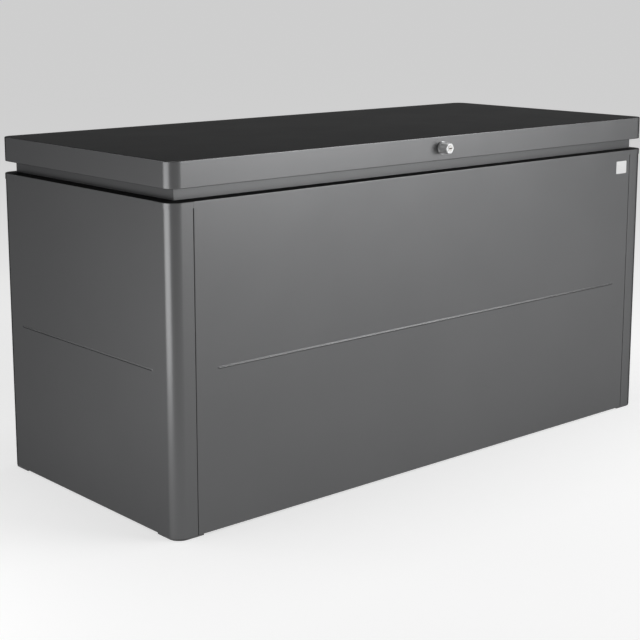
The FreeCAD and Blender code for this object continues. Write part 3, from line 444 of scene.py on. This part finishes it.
treeLinks(
    rivetTree,
    (inputs["Head Radius"], head.inputs["Radius"]),
    (flatness, headSize.inputs["Z"]),
    (headSize.outputs[0], headShape.inputs["Scale"]),
    (head.outputs["Mesh"], headShape.inputs["Geometry"]),
    (inputs["Shank Radius"], shank.inputs["Radius"]),
    (inputs["Shank Length"], shank.inputs["Depth"]),
    (shankMiddle, shankPlace.inputs["Z"]),
    (shankPlace.outputs[0], shankShape.inputs["Translation"]),
    (shank.outputs["Mesh"], shankShape.inputs["Geometry"]),
    (inputs["Tail Radius"], tail.inputs["Radius Top"]),
    (tailRadius, tail.inputs["Radius Bottom"]),
    (inputs["Tail Height"], tail.inputs["Depth"]),
    (tailEnd, tailPlace.inputs["Z"]),
    (tailPlace.outputs[0], tailShape.inputs["Translation"]),
    (tail.outputs["Mesh"], tailShape.inputs["Geometry"]),
    (headShape.outputs["Geometry"], whole.inputs["Geometry"]),
    (shankShape.outputs["Geometry"], whole.inputs["Geometry"]),
    (tailShape.outputs["Geometry"], whole.inputs["Geometry"]),
    (facing.outputs["Attribute"], turn.inputs["Vector"]),
    (turn.outputs["Rotation"], places.inputs["Rotation"]),
    (inputs["Geometry"], places.inputs["Points"]),
    (whole.outputs["Geometry"], places.inputs["Instance"]),
    (places.outputs["Instances"], rounded.inputs["Geometry"]),
)
finishTree(rivetTree, source, target, rounded.outputs["Geometry"])


def rivetPlaces(nodeName):
    # each fastener's point under its head, and the way that its head faces
    points, ways = [], []
    for group in solidsOf(nodeName):
        low = Vector([min(p[i] for p in group) for i in range(3)])
        high = Vector([max(p[i] for p in group) for i in range(3)])
        middle, size = (low + high) / 2, high - low
        axis = min(range(3), key=lambda i: size[i])
        sides = [i for i in range(3) if i != axis]
        headPoints = [p[axis] for p in group
                      if math.hypot(*(p[i] - middle[i] for i in sides)) > rivetLook["headBeyond"]]
        up = 1 if sum(headPoints) / len(headPoints) > middle[axis] else -1
        way = Vector((0, 0, 0))
        way[axis] = up
        point = middle.copy()
        point[axis] = (high if up > 0 else low)[axis] - up * rivetLook["headHeight"]
        points.append(point)
        ways.append(way)
    mesh = bpy.data.meshes.new(nodeName + "Places")
    mesh.from_pydata(points, [], [])
    attribute = mesh.attributes.new("facing", "FLOAT_VECTOR", "POINT")
    attribute.data.foreach_set("vector", [number for way in ways for number in way])
    return mesh


rivetRows = {
    "seam_rivets": {"Shank Length": 2.0 * mm},
    "floor_rivets": {"Shank Length": 2.0 * mm},
    "hinge_body_rivets": {"Shank Length": 3.0 * mm},
    "hinge_lid_rivets": {"Shank Length": 3.0 * mm},
    "keeper_rivets": {"Shank Length": 3.0 * mm},
    "foot_screws": {"Shank Length": 2.4 * mm, "Tail Radius": 2.0 * mm, "Tail Height": 1.0 * mm},
}
for nodeName, sizes in rivetRows.items():
    values = {**sizes, "Finish": slotFinish[nodeSlot[nodeName]]}
    grown = grow(nodeName, rivetPlaces(nodeName), rivetTree, values)
    nodePiece(nodeName + "Domed", nodeName, grown, painted=True)
print("rivets placed")


# lid shell: one sheet folded round a rounded rectangle
lidLook = {"length": 1597.0 * mm, "depth": 697.0 * mm, "corner": 28.5 * mm, "top": 820.0 * mm,
           "skirtBottom": 762.0 * mm, "sheet": 1.0 * mm, "topFold": 2.2 * mm, "bottomFold": 1.6 * mm,
           "hem": 11.0 * mm, "cornerSteps": 18, "foldSteps": 6, "weld": 0.05 * mm,
           "lockHeight": 792.0 * mm, "lockBore": 9.6 * mm, "cutterDepth": 10.0 * mm, "cutterSteps": 48}

lidTree, source, target = newTree("foldedLid", [
    ("Length", "NodeSocketFloat", lidLook["length"]),
    ("Depth", "NodeSocketFloat", lidLook["depth"]),
    ("Corner", "NodeSocketFloat", lidLook["corner"]),
    ("Corner Steps", "NodeSocketInt", lidLook["cornerSteps"]),
    ("Top Fold", "NodeSocketFloat", lidLook["topFold"]),
    ("Top", "NodeSocketFloat", lidLook["top"]),
    ("Sheet", "NodeSocketFloat", lidLook["sheet"]),
    ("Lock Height", "NodeSocketFloat", lidLook["lockHeight"]),
    ("Lock Bore", "NodeSocketFloat", lidLook["lockBore"]),
    ("Finish", "NodeSocketMaterial", None)])


def roundedRectangle(tree, length, depth, corner, steps):
    outline = addNode(tree, "GeometryNodeCurvePrimitiveQuadrilateral")
    fillet = addNode(tree, "GeometryNodeFilletCurve")
    if "Mode" in fillet.inputs:
        fillet.inputs["Mode"].default_value = "Poly"
    else:
        fillet.mode = "POLY"
    treeLinks(
        tree,
        (length, outline.inputs["Width"]),
        (depth, outline.inputs["Height"]),
        (outline.outputs["Curve"], fillet.inputs["Curve"]),
        (corner, fillet.inputs["Radius"]),
        (steps, fillet.inputs["Count"]),
    )
    return fillet.outputs["Curve"]


inputs = source.outputs
path = roundedRectangle(lidTree, inputs["Length"], inputs["Depth"], inputs["Corner"], inputs["Corner Steps"])
profile = addNode(lidTree, "GeometryNodeMeshToCurve")
folded = addNode(lidTree, "GeometryNodeCurveToMesh")
insetTwice = calculated(lidTree, "MULTIPLY", inputs["Top Fold"], 2.0)
topOutline = roundedRectangle(
    lidTree, calculated(lidTree, "SUBTRACT", inputs["Length"], insetTwice),
    calculated(lidTree, "SUBTRACT", inputs["Depth"], insetTwice),
    calculated(lidTree, "SUBTRACT", inputs["Corner"], inputs["Top Fold"]), inputs["Corner Steps"])
topFace = addNode(lidTree, "GeometryNodeFillCurve")
underFace = addNode(lidTree, "GeometryNodeFlipFaces")
topHeight = addNode(lidTree, "ShaderNodeCombineXYZ")
underHeight = addNode(lidTree, "ShaderNodeCombineXYZ")
topLift = addNode(lidTree, "GeometryNodeTransform")
underLift = addNode(lidTree, "GeometryNodeTransform")
lidParts = addNode(lidTree, "GeometryNodeJoinGeometry")
weld = addNode(lidTree, "GeometryNodeMergeByDistance", Distance=lidLook["weld"])
lockCutter = addNode(lidTree, "GeometryNodeMeshCylinder", Vertices=lidLook["cutterSteps"],
                     Depth=lidLook["cutterDepth"])
lockPlace = addNode(lidTree, "ShaderNodeCombineXYZ")
lockLift = addNode(lidTree, "GeometryNodeTransform", Rotation=(math.pi / 2, 0, 0))
lockHole = addNode(lidTree, "GeometryNodeMeshBoolean", operation="DIFFERENCE")
treeLinks(
    lidTree,
    (inputs["Geometry"], profile.inputs["Mesh"]),
    (path, folded.inputs["Curve"]),
    (profile.outputs["Curve"], folded.inputs["Profile Curve"]),
    (topOutline, topFace.inputs["Curve"]),
    (inputs["Top"], topHeight.inputs["Z"]),
    (calculated(lidTree, "SUBTRACT", inputs["Top"], inputs["Sheet"]), underHeight.inputs["Z"]),
    (topFace.outputs["Mesh"], topLift.inputs["Geometry"]),
    (topHeight.outputs[0], topLift.inputs["Translation"]),
    (topFace.outputs["Mesh"], underFace.inputs["Mesh"]),
    (underFace.outputs["Mesh"], underLift.inputs["Geometry"]),
    (underHeight.outputs[0], underLift.inputs["Translation"]),
    (folded.outputs["Mesh"], lidParts.inputs["Geometry"]),
    (topLift.outputs["Geometry"], lidParts.inputs["Geometry"]),
    (underLift.outputs["Geometry"], lidParts.inputs["Geometry"]),
    (lidParts.outputs["Geometry"], weld.inputs["Geometry"]),
    (inputs["Lock Bore"], lockCutter.inputs["Radius"]),
    (calculated(lidTree, "MULTIPLY", inputs["Depth"], -0.5), lockPlace.inputs["Y"]),
    (inputs["Lock Height"], lockPlace.inputs["Z"]),
    (lockCutter.outputs["Mesh"], lockLift.inputs["Geometry"]),
    (lockPlace.outputs[0], lockLift.inputs["Translation"]),
    (weld.outputs["Geometry"], lockHole.inputs["Mesh 1"]),
    (lockLift.outputs["Geometry"], lockHole.inputs["Mesh 2"]),
)
finishTree(lidTree, source, target, lockHole.outputs["Mesh"])


def arcPoints(centre, radius, start, end, steps):
    points = []
    for i in range(steps + 1):
        angle = math.radians(start + (end - start) * i / steps)
        points.append((centre[0] + radius * math.cos(angle), centre[1] + radius * math.sin(angle)))
    return points


def lidSection(look):
    # (inward, height) points from the top sheet's outer face round the hem to its inner face
    top, low, sheet, steps = look["top"], look["skirtBottom"], look["sheet"], look["foldSteps"]
    upper, lower = look["topFold"], look["bottomFold"]
    points = arcPoints((upper, top - upper), upper, 90, 180, steps)
    points += arcPoints((lower, low + lower), lower, 180, 270, steps)
    points += [(look["hem"], low), (look["hem"], low + sheet)]
    points += arcPoints((lower, low + lower), lower - sheet, 270, 180, steps)
    points += arcPoints((upper, top - upper), upper - sheet, 180, 90, steps)
    return points


section = lidSection(lidLook)
sectionMesh = bpy.data.meshes.new("lidSection")
sectionMesh.from_pydata([(-inward, -height, 0) for inward, height in section],
                        [(i, i + 1) for i in range(len(section) - 1)], [])
lidMesh = grow("lidShell", sectionMesh, lidTree, {"Finish": coatMaterial})
coatSides(lidMesh, lidLook["skirtBottom"] + 2 * lidLook["sheet"])
shadeByAngle(lidMesh)
evenShading(nodePiece("lidShell", "lid_shell", lidMesh, painted=True))
print("lid shell folded")


# helpers for turned and lofted pieces

def axisFrame(start, end):
    along = (Vector(end) - Vector(start)).normalized()
    aside = along.orthogonal().normalized()
    return along, aside, along.cross(aside)


def ringsMesh(rings, closedEnds=True):
    # joins rings of equal count into a skin; an outline that comes back round has no ends
    mesh = bmesh.new()
    loops = [[mesh.verts.new(point) for point in ring] for ring in rings]
    count = len(loops[0])
    pairs = list(zip(loops, loops[1:]))
    if not closedEnds:
        pairs.append((loops[-1], loops[0]))
    for lower, upper in pairs:
        for i in range(count):
            j = (i + 1) % count
            mesh.faces.new((lower[i], lower[j], upper[j], upper[i]))
    if closedEnds:
        mesh.faces.new(list(reversed(loops[0])))
        mesh.faces.new(loops[-1])
    bmesh.ops.remove_doubles(mesh, verts=mesh.verts, dist=meshLook["weld"])
    bmesh.ops.recalc_face_normals(mesh, faces=mesh.faces)
    data = bpy.data.meshes.new("skin")
    mesh.to_mesh(data)
    mesh.free()
    return data


def turnedMesh(start, end, outline, segments=48, closedEnds=True):
    # outline is (distance from start, radius) along the line from start towards end
    along, aside, other = axisFrame(start, end)
    rings = []
    for distance, radius in outline:
        centre = Vector(start) + along * distance
        rings.append([centre + (aside * math.cos(a) + other * math.sin(a)) * radius
                      for a in (2 * math.pi * i / segments for i in range(segments))])
    return ringsMesh(rings, closedEnds)


def joinedMesh(name, parts):
    mesh = bmesh.new()
    for part in parts:
        mesh.from_mesh(part)
    data = bpy.data.meshes.new(name + "Mesh")
    mesh.to_mesh(data)
    mesh.free()
    return data


# lock knob: tapered, six flutes, rounded rim, ring round the key core
knobShape = {"x": 0.0, "z": 792.0 * mm, "base": -350.8 * mm, "end": -374.8 * mm, "baseRadius": 15.3 * mm,
             "endRadius": 13.0 * mm, "flutes": 6, "firstFlute": 30.0, "fluteRadius": 6.0 * mm,
             "fluteDepth": 2.9 * mm, "fluteEdge": 0.18 * mm, "fadeStart": 0.3, "endFlutes": 0.3,
             "baseBevel": 0.8 * mm, "bevelMiddle": 0.25 * mm, "rim": 1.9 * mm, "coreHole": 7.55 * mm,
             "holeDepth": 16.0 * mm, "steps": 144, "flankRings": 12, "rimRings": 5, "crispAngle": 38.0,
             "spindle": 5.0 * mm, "spindleEnd": -335.3 * mm, "square": 7.0 * mm, "squareEnd": -332.5 * mm,
             "bevel": 0.3 * mm, "overlap": 1.0 * mm}
# ring in the end face: (distance beyond the core's hole, depth)
knobGroove = [(2.6 * mm, 0), (2.3 * mm, 0.25 * mm), (1.5 * mm, 0.25 * mm), (1.2 * mm, 0), (0.3 * mm, 0),
              (0, 0.15 * mm)]


def gripRadius(angle, radius):
    # distance from the axis at an angle: round lobes with a round flute between them, met by a soft edge
    look = knobShape
    reach = (look["baseRadius"] - look["fluteDepth"] + look["fluteRadius"]) * radius / look["baseRadius"]
    hollow = look["fluteRadius"] * radius / look["baseRadius"]
    pitch = 2 * math.pi / look["flutes"]
    aside = (angle - math.radians(look["firstFlute"]) + pitch / 2) % pitch - pitch / 2
    inside = hollow ** 2 - (reach * math.sin(aside)) ** 2
    if inside <= 0:
        return radius
    flute = reach * math.cos(aside) - math.sqrt(inside)
    if flute >= radius:
        return radius
    soften = look["fluteEdge"]
    return -soften * math.log(math.exp(-flute / soften) + math.exp(-radius / soften))


def knobRing(y, radius, fluted=1.0):
    look = knobShape
    points = []
    for i in range(look["steps"]):
        angle = 2 * math.pi * i / look["steps"]
        far = gripRadius(angle, radius) * fluted + radius * (1 - fluted)
        points.append(Vector((look["x"] + far * math.cos(angle), y, look["z"] + far * math.sin(angle))))
    return points


def knobMesh():
    look = knobShape
    base, end, rim = look["base"], look["end"], look["rim"]
    wide, bevel, middle = look["baseRadius"], look["baseBevel"], look["bevelMiddle"]
    rings = [knobRing(base, look["spindle"], 0.0), knobRing(base, wide - bevel),
             knobRing(base - middle, wide - middle), knobRing(base - bevel, wide)]
    for i in range(1, look["flankRings"] + 1):
        share = i / look["flankRings"]
        y = base - bevel + (end + rim - base + bevel) * share
        fade = max(0.0, (share - look["fadeStart"]) / (1 - look["fadeStart"]))
        taper = (look["endRadius"] - wide) * (base - y) / (base - end)
        rings.append(knobRing(y, wide + taper, 1 - (1 - look["endFlutes"]) * fade))
    for i in range(1, look["rimRings"] + 1):
        a = math.radians(90 * i / look["rimRings"])
        rings.append(knobRing(end + rim - rim * math.sin(a), look["endRadius"] - rim + rim * math.cos(a),
                              look["endFlutes"]))
    hole = look["coreHole"]
    rings += [knobRing(end + depth, hole + beyond, 0.0) for beyond, depth in knobGroove]
    rings.append(knobRing(end + look["holeDepth"], hole, 0.0))
    grip = ringsMesh(rings)
    spindle = turnedMesh((look["x"], base, look["z"]), (look["x"], 0, look["z"]),
                         [(-look["overlap"], look["spindle"]),
                          (look["spindleEnd"] - base - look["bevel"], look["spindle"]),
                          (look["spindleEnd"] - base, look["spindle"] - look["bevel"])])
    half = look["square"] / 2
    corners = ((1, 1), (-1, 1), (-1, -1), (1, -1))
    square = ringsMesh([[Vector((look["x"] + x * size, y, look["z"] + z * size)) for x, z in corners]
                        for y, size in ((look["spindleEnd"] - look["overlap"], half),
                                        (look["squareEnd"] - look["bevel"], half),
                                        (look["squareEnd"], half - look["bevel"]))])
    return joinedMesh("knob", [grip, spindle, square])


knobData = knobMesh()
shadeByAngle(knobData, knobShape["crispAngle"])
evenShading(nodePiece("lockKnob", "lock_knob", knobData))

# key core: face with a bevelled rim, and a keyway cut into it
coreShape = {"radius": 7.45 * mm, "proud": 0.4 * mm, "length": 15.6 * mm, "slotLength": 10.4 * mm,
             "slotWidth": 2.8 * mm, "slotDepth": 8.0 * mm, "overlap": 1.0 * mm, "steps": 64, "slotSteps": 24}
# (depth, how much less than the radius) from the face to the side
coreBevel = [(0, 0.5 * mm), (0.12 * mm, 0.15 * mm), (0.4 * mm, 0)]


def coreMesh():
    look, height = coreShape, knobShape["z"]
    front = knobShape["end"] - look["proud"]
    outline = [(depth, look["radius"] - less) for depth, less in coreBevel]
    body = turnedMesh((0, front, height), (0, 0, height), [*outline, (look["length"], look["radius"])],
                      look["steps"])
    piece = bpy.data.objects.new("coreBody", body)
    half, wide = look["slotLength"] / 2, look["slotWidth"] / 2
    slotPoints = []
    for i in range(look["slotSteps"]):
        a = 2 * math.pi * i / look["slotSteps"]
        side = (half - wide) if math.cos(a) >= 0 else -(half - wide)
        slotPoints.append((side + wide * math.cos(a), wide * math.sin(a)))
    cutter = bpy.data.objects.new("coreCutter", ringsMesh(
        [[Vector((x, depth, height + z)) for x, z in slotPoints]
         for depth in (front - look["overlap"], front + look["slotDepth"])]))
    for item in (piece, cutter):
        bpy.context.scene.collection.objects.link(item)
    cut = piece.modifiers.new("keySlot", "BOOLEAN")
    cut.object = cutter
    cut.solver = "EXACT"
    data = bpy.data.meshes.new_from_object(piece.evaluated_get(bpy.context.evaluated_depsgraph_get()))
    piece.modifiers.clear()
    bpy.data.objects.remove(piece)
    bpy.data.objects.remove(cutter)
    return data


coreData = coreMesh()
shadeByAngle(coreData)
evenShading(nodePiece("keyCore", "key_core", coreData))
print("knob and core made")

# pressed lines: each wall's bead gets the soft flanks of sheet that a roller has pushed out
beadLook = {"height": 367.0 * mm, "rise": 1.7 * mm, "spread": 1.2, "barRadius": 2.636 * mm,
            "barDepth": 0.836 * mm, "halfWidth": 2.5 * mm, "endSlack": 0.01 * mm, "sideSlack": 0.05 * mm,
            "wallSlack": 0.005 * mm, "barSkin": 0.4 * mm}
# per wall: the axis that it faces along, its outer face, and half the bead's length
beadWalls = {"front_wall": (1, -348.9 * mm, 680.0 * mm), "rear_wall": (1, 348.9 * mm, 680.0 * mm),
             "left_side_wall": (0, -798.9 * mm, 269.0 * mm), "right_side_wall": (0, 798.9 * mm, 269.0 * mm)}


def softBead(mesh, nodeName):
    # points on the bead go out by a cosine of their share of its half width, except those behind the bar
    axis, plane, barEnd = beadWalls[nodeName]
    out = 1 if plane > 0 else -1
    look = beadLook
    for vert in mesh.verts:
        proud = (vert.co[axis] - plane) * out
        off = vert.co.z - look["height"]
        fromBar = math.hypot(proud + look["barDepth"], off)
        inBar = fromBar < look["barRadius"] - look["barSkin"]
        behind = inBar and abs(vert.co[1 - axis]) < barEnd + look["endSlack"]
        if proud < -look["wallSlack"] or abs(off) > look["halfWidth"] + look["sideSlack"] or behind:
            continue
        reach = max(0.0, look["barRadius"] ** 2 - (max(proud, 0.0) + look["barDepth"]) ** 2)
        share = min(1.0, math.sqrt(reach) / look["halfWidth"])
        vert.co[axis] = plane + out * look["rise"] * (1 + math.cos(math.pi * share)) / 2
        vert.co.z = look["height"] + off * look["spread"]


# rim: the ledge falls towards its outer edge so that water runs off, and the walls' tops follow it
ledgeLook = {"neck": (772.0 * mm, 322.0 * mm), "corner": (770.0 * mm, 320.0 * mm), "width": 28.0 * mm,
             "fall": 2.0 * mm, "above": 700.0 * mm, "neckTop": 760.0 * mm, "onCut": 1e-6,
             "softEdge": 0.3 * mm, "neckFace": (772.3 * mm, 322.3 * mm)}


def slopedLedge(mesh, nodeName):
    (neckX, neckY), (cornerX, cornerY) = ledgeLook["neck"], ledgeLook["corner"]
    if "corner_cap" in nodeName:
        # a cap is first cut where its round part begins, so that it bends only there
        first = mesh.verts[:][0].co
        for place, way in (((math.copysign(cornerX, first.x), 0, 0), (1, 0, 0)),
                           ((0, math.copysign(cornerY, first.y), 0), (0, 1, 0))):
            bmesh.ops.bisect_plane(mesh, geom=mesh.verts[:] + mesh.edges[:] + mesh.faces[:],
                                   dist=ledgeLook["onCut"], plane_co=place, plane_no=way)
    for vert in mesh.verts:
        x, y, z = abs(vert.co.x), abs(vert.co.y), vert.co.z
        if x > cornerX and y > cornerY:
            away = math.hypot(x - cornerX, y - cornerY) - (neckX - cornerX)
        else:
            away = max(x - neckX, y - neckY)
        if away > 0 and ledgeLook["above"] < z < ledgeLook["neckTop"]:
            vert.co.z -= ledgeLook["fall"] * min(1.0, away / ledgeLook["width"])


def wallShape(mesh, nodeName):
    softBead(mesh, nodeName)
    slopedLedge(mesh, nodeName)


for nodeName in beadWalls:
    coatSides(smoothCopy(nodeName, reshape=wallShape).data, 0.0)
rimNodes = [name for name in cadNodes if name.endswith(("_top_rail", "_corner_cap"))]
for nodeName in rimNodes:
    rail = nodeName.endswith("_rail")
    piece = smoothCopy(nodeName, edge=ledgeLook["softEdge"] if rail else 0.0, reshape=slopedLedge)
    coatSides(piece.data, 0.0, ledgeLook["neckFace"] if rail else None)
print("walls and rim shaped")

# gas springs: rolled tube with a crimped gland, bright rod, eye below and snap socket above
springLook = {"side": 738.0 * mm, "foot": (260.0 * mm, 560.0 * mm), "head": (187.0 * mm, 788.0 * mm),
              "fitting": 18.0, "rodShown": 8.0, "eyeBore": 4.15, "shank": 5.5, "shankTaper": 0.7,
              "tube": 11.0, "tubeBore": 9.5, "glandBore": 5.3, "gland": 16.0, "rod": 5.0, "piston": 9.2,
              "pistonLength": 14.0, "edge": 0.4, "steps": 64}
# section of both sockets: (distance from the middle, radius) in millimetres
socketOutline = [(-6, 7.7), (-5.5, 8.6), (-4.5, 9.0), (-1.5, 9.0), (-1.1, 8.55), (1.1, 8.55), (1.5, 9.0),
                 (4.5, 9.0), (5.5, 8.6), (6, 7.7)]


def alongOutline(points):
    return [(distance * mm, radius * mm) for distance, radius in points]


def springPieces(sideName, sign):
    # the outlines are (distance from the foot's middle, radius) in millimetres
    look = springLook
    foot, head = (Vector((sign * look["side"], *look[end])) for end in ("foot", "head"))
    closed = (head - foot).length / mm
    first, last = look["fitting"], closed - look["fitting"] - look["rodShown"]
    glandStart, rodEnd = last - look["gland"], closed - look["fitting"]
    outer, bore, gland = look["tube"], look["tubeBore"], look["glandBore"]
    tube = [(first, 8.9), (first + 0.4, 10.0), (first + 1.3, 10.8), (first + 2.4, outer),
            (last - 22.0, outer), (last - 20.8, 10.85), (last - 19.8, 10.2), (last - 19.0, 9.95),
            (last - 18.2, 10.2), (last - 17.2, 10.85), (last - 16.0, outer), (last - 3.4, outer),
            (last - 1.8, 10.7), (last - 0.6, 9.8), (last, 8.4), (last, 6.9), (last - 0.8, 6.4),
            (last - 0.8, gland), (glandStart, gland), (glandStart, bore), (first + 3, bore)]
    start, wide, thin = first + 5, look["piston"], look["rod"]
    stop, edge = start + look["pistonLength"], look["edge"]
    rod = [(start, wide - edge), (start + edge, wide), (stop - edge, wide), (stop, wide - edge), (stop, thin),
           (rodEnd - 1.0, thin), (rodEnd, thin - edge)]
    eyeOutline = [(-6, look["eyeBore"]), *socketOutline, (6, look["eyeBore"])]
    eye = turnedMesh(foot, foot + Vector((1, 0, 0)), alongOutline(eyeOutline), closedEnds=False)
    cup = turnedMesh(head, head + Vector((1, 0, 0)), alongOutline(socketOutline))
    full, small = look["shank"], look["shank"] - look["shankTaper"]
    lowOutline = alongOutline([(8.0, full), (first - 1.2, full), (first, small)])
    highOutline = alongOutline([(rodEnd, small), (rodEnd + 1.2, full), (closed - 6, full)])
    lowShank, highShank = (turnedMesh(foot, head, outline) for outline in (lowOutline, highOutline))
    turned = {"spring_cylinder": [turnedMesh(foot, head, alongOutline(tube), look["steps"])],
              "spring_rod": [turnedMesh(foot, head, alongOutline(rod))],
              "foot_socket": [eye, lowShank], "head_socket": [cup, highShank]}
    for ending, parts in turned.items():
        nodeName = sideName + ending
        data = joinedMesh(nodeName, parts)
        shadeByAngle(data)
        evenShading(nodePiece(nodeName + "Turned", nodeName, data))
    return [sideName + ending for ending in turned]


springNodes = springPieces("left_", -1) + springPieces("right_", 1)
print("gas springs turned")

# the rest keeps the shape of its node, merged and shaded, with the small radius that its edges have
softEdges = {"bracket": 0.5 * mm, "keeper": 0.4 * mm, "leaves": 0.4 * mm, "foot": 1.2 * mm,
             "nut": 0.5 * mm, "guides": 0.6 * mm, "rod": 0.6 * mm, "crank_plate": 0.5 * mm,
             "studs": 0.5 * mm, "seal": 0.8 * mm}
made = {"lid_shell", "lock_knob", "key_core", *rivetRows, *beadWalls, *rimNodes, *springNodes}
for nodeName in cadNodes:
    if nodeName not in made:
        radius = next((edge for ending, edge in softEdges.items() if nodeName.endswith(ending)), 0.0)
        smoothCopy(nodeName, edge=radius)
print("folded sheet shaded")

# plain plate near the right end of the front
plateShape = {"x": (682.0 * mm, 726.0 * mm), "z": (671.0 * mm, 705.0 * mm), "wall": -348.9 * mm,
              "thickness": 0.6 * mm, "corner": 2.5 * mm, "cornerSteps": 6, "sunk": 0.05 * mm,
              "bevel": 0.15 * mm, "crispAngle": 30.0}


def plateRing(y, inset):
    (left, right), (low, high), corner = plateShape["x"], plateShape["z"], plateShape["corner"]
    points = []
    for cx, cz, start in ((right - corner, high - corner, 0), (left + corner, high - corner, 90),
                          (left + corner, low + corner, 180), (right - corner, low + corner, 270)):
        for x, z in arcPoints((cx, cz), corner - inset, start, start + 90, plateShape["cornerSteps"]):
            points.append(Vector((x, y, z)))
    return points


plateBack = plateShape["wall"] + plateShape["sunk"]
plateFront, bevel = plateShape["wall"] - plateShape["thickness"], plateShape["bevel"]
plateRings = [plateRing(plateBack, 0), plateRing(plateFront + bevel, 0), plateRing(plateFront, bevel)]
plateData = ringsMesh(plateRings)
shadeByAngle(plateData, plateShape["crispAngle"])
addPiece("plainPlate", plateData, "box_body", plateMaterial)
print("plain plate made")


# stage: pale floor, soft boxes and the camera
floorLook = {"size": 3000.0, "below": 0.5 * mm, "color": (0.62, 0.62, 0.62), "nearGlow": 0.57,
             "farGlow": 0.52, "glowStart": 2.5, "glowEnd": 8.0}
airLook = {"level": 0.16, "backdrop": 0.56, "ceiling": 0.12, "fadeStart": 0.06, "fadeEnd": 0.42}


def seenRays(tree):
    # 1 for what the camera, a reflection or a look through glass meets, 0 for light on a matt surface
    rays = addNode(tree, "ShaderNodeLightPath").outputs
    firstTwo = calculated(tree, "MAXIMUM", rays["Is Camera Ray"], rays["Is Glossy Ray"])
    return calculated(tree, "MAXIMUM", firstTwo, rays["Is Transmission Ray"])


bpy.ops.mesh.primitive_plane_add(size=floorLook["size"], location=(0, 0, -floorLook["below"]))
studioFloor = bpy.context.object
studioFloor.name = "studioFloor"
floorMaterial, tree, shader = newMaterial("studioFloor", floorLook["color"], 1.0, 0.0,
                                          **{"Specular IOR Level": 0.0})
shader.inputs["Emission Color"].default_value = (1, 1, 1, 1)
away = addNode(tree, "ShaderNodeVectorMath", operation="LENGTH")
tree.links.new(patternPlace(tree), away.inputs[0])
glow = toRange(tree, away.outputs["Value"], floorLook["nearGlow"], floorLook["farGlow"],
               floorLook["glowStart"], floorLook["glowEnd"])
tree.links.new(calculated(tree, "MULTIPLY", seenRays(tree), glow), shader.inputs["Emission Strength"])
studioFloor.data.materials.append(floorMaterial)

world = bpy.data.worlds.new("studioAir")
bpy.context.scene.world = world
world.use_nodes = True
tree = world.node_tree
air = tree.nodes["Background"]
air.inputs["Color"].default_value = (1, 1, 1, 1)
level = addNode(tree, "ShaderNodeMapRange")
level.inputs["To Min"].default_value = airLook["level"]
direction = addNode(tree, "ShaderNodeTexCoord")
upward = addNode(tree, "ShaderNodeSeparateXYZ")
treeLinks(
    tree,
    (direction.outputs["Generated"], upward.inputs[0]),
    (seenRays(tree), level.inputs["Value"]),
    (toRange(tree, upward.outputs["Z"], airLook["backdrop"], airLook["ceiling"], airLook["fadeStart"],
             airLook["fadeEnd"]), level.inputs["To Max"]),
    (level.outputs["Result"], air.inputs["Strength"]),
)


def softBox(name, place, aim, size, power):
    light = bpy.data.lights.new(name, "AREA")
    light.shape = "RECTANGLE"
    light.size, light.size_y = size
    light.energy = power
    lamp = bpy.data.objects.new(name, light)
    bpy.context.scene.collection.objects.link(lamp)
    lamp.visible_camera = False  # it lights and reflects, but never shows behind the box
    lamp.location = place
    lamp.rotation_euler = (Vector(aim) - Vector(place)).to_track_quat("-Z", "Y").to_euler()


lamps = {
    "frontBox": {"place": (2.9, -4.2, 1.5), "aim": (0.2, -0.35, 0.7), "size": (2.4, 1.6), "power": 122},
    "leftPanel": {"place": (-2.1, -0.06, 0.35), "aim": (-0.8, -0.25, 0.31), "size": (1.3, 0.8), "power": 9.4},
    "skyBox": {"place": (0.0, 0.2, 3.4), "aim": (0.0, 0.0, 0.8), "size": (2.2, 1.6), "power": 19},
    "upperBox": {"place": (2.3, -1.9, 2.6), "aim": (0.0, -0.35, 0.4), "size": (1.7, 0.8), "power": 21},
    "floorLamp": {"place": (-2.8, 2.6, 2.2), "aim": (-2.4, 2.0, 0.0), "size": (1.6, 1.6), "power": 17},
}
for name, lamp in lamps.items():
    softBox(name, **lamp)

cameraLook = {"place": (-2.4979, -2.7434, 1.1659), "yaw": 0.7215, "pitch": -0.183, "lens": 81.05,
              "shiftY": -0.1}
cameraData = bpy.data.cameras.new("camera")
cameraData.lens = cameraLook["lens"]
cameraData.shift_y = cameraLook["shiftY"]
camera = bpy.data.objects.new("camera", cameraData)
bpy.context.scene.collection.objects.link(camera)
camera.location = cameraLook["place"]
camera.rotation_euler = (math.pi / 2 + cameraLook["pitch"], 0, -cameraLook["yaw"])
bpy.context.scene.camera = camera
bpy.context.scene.view_settings.view_transform = "Standard"
print("stage set")
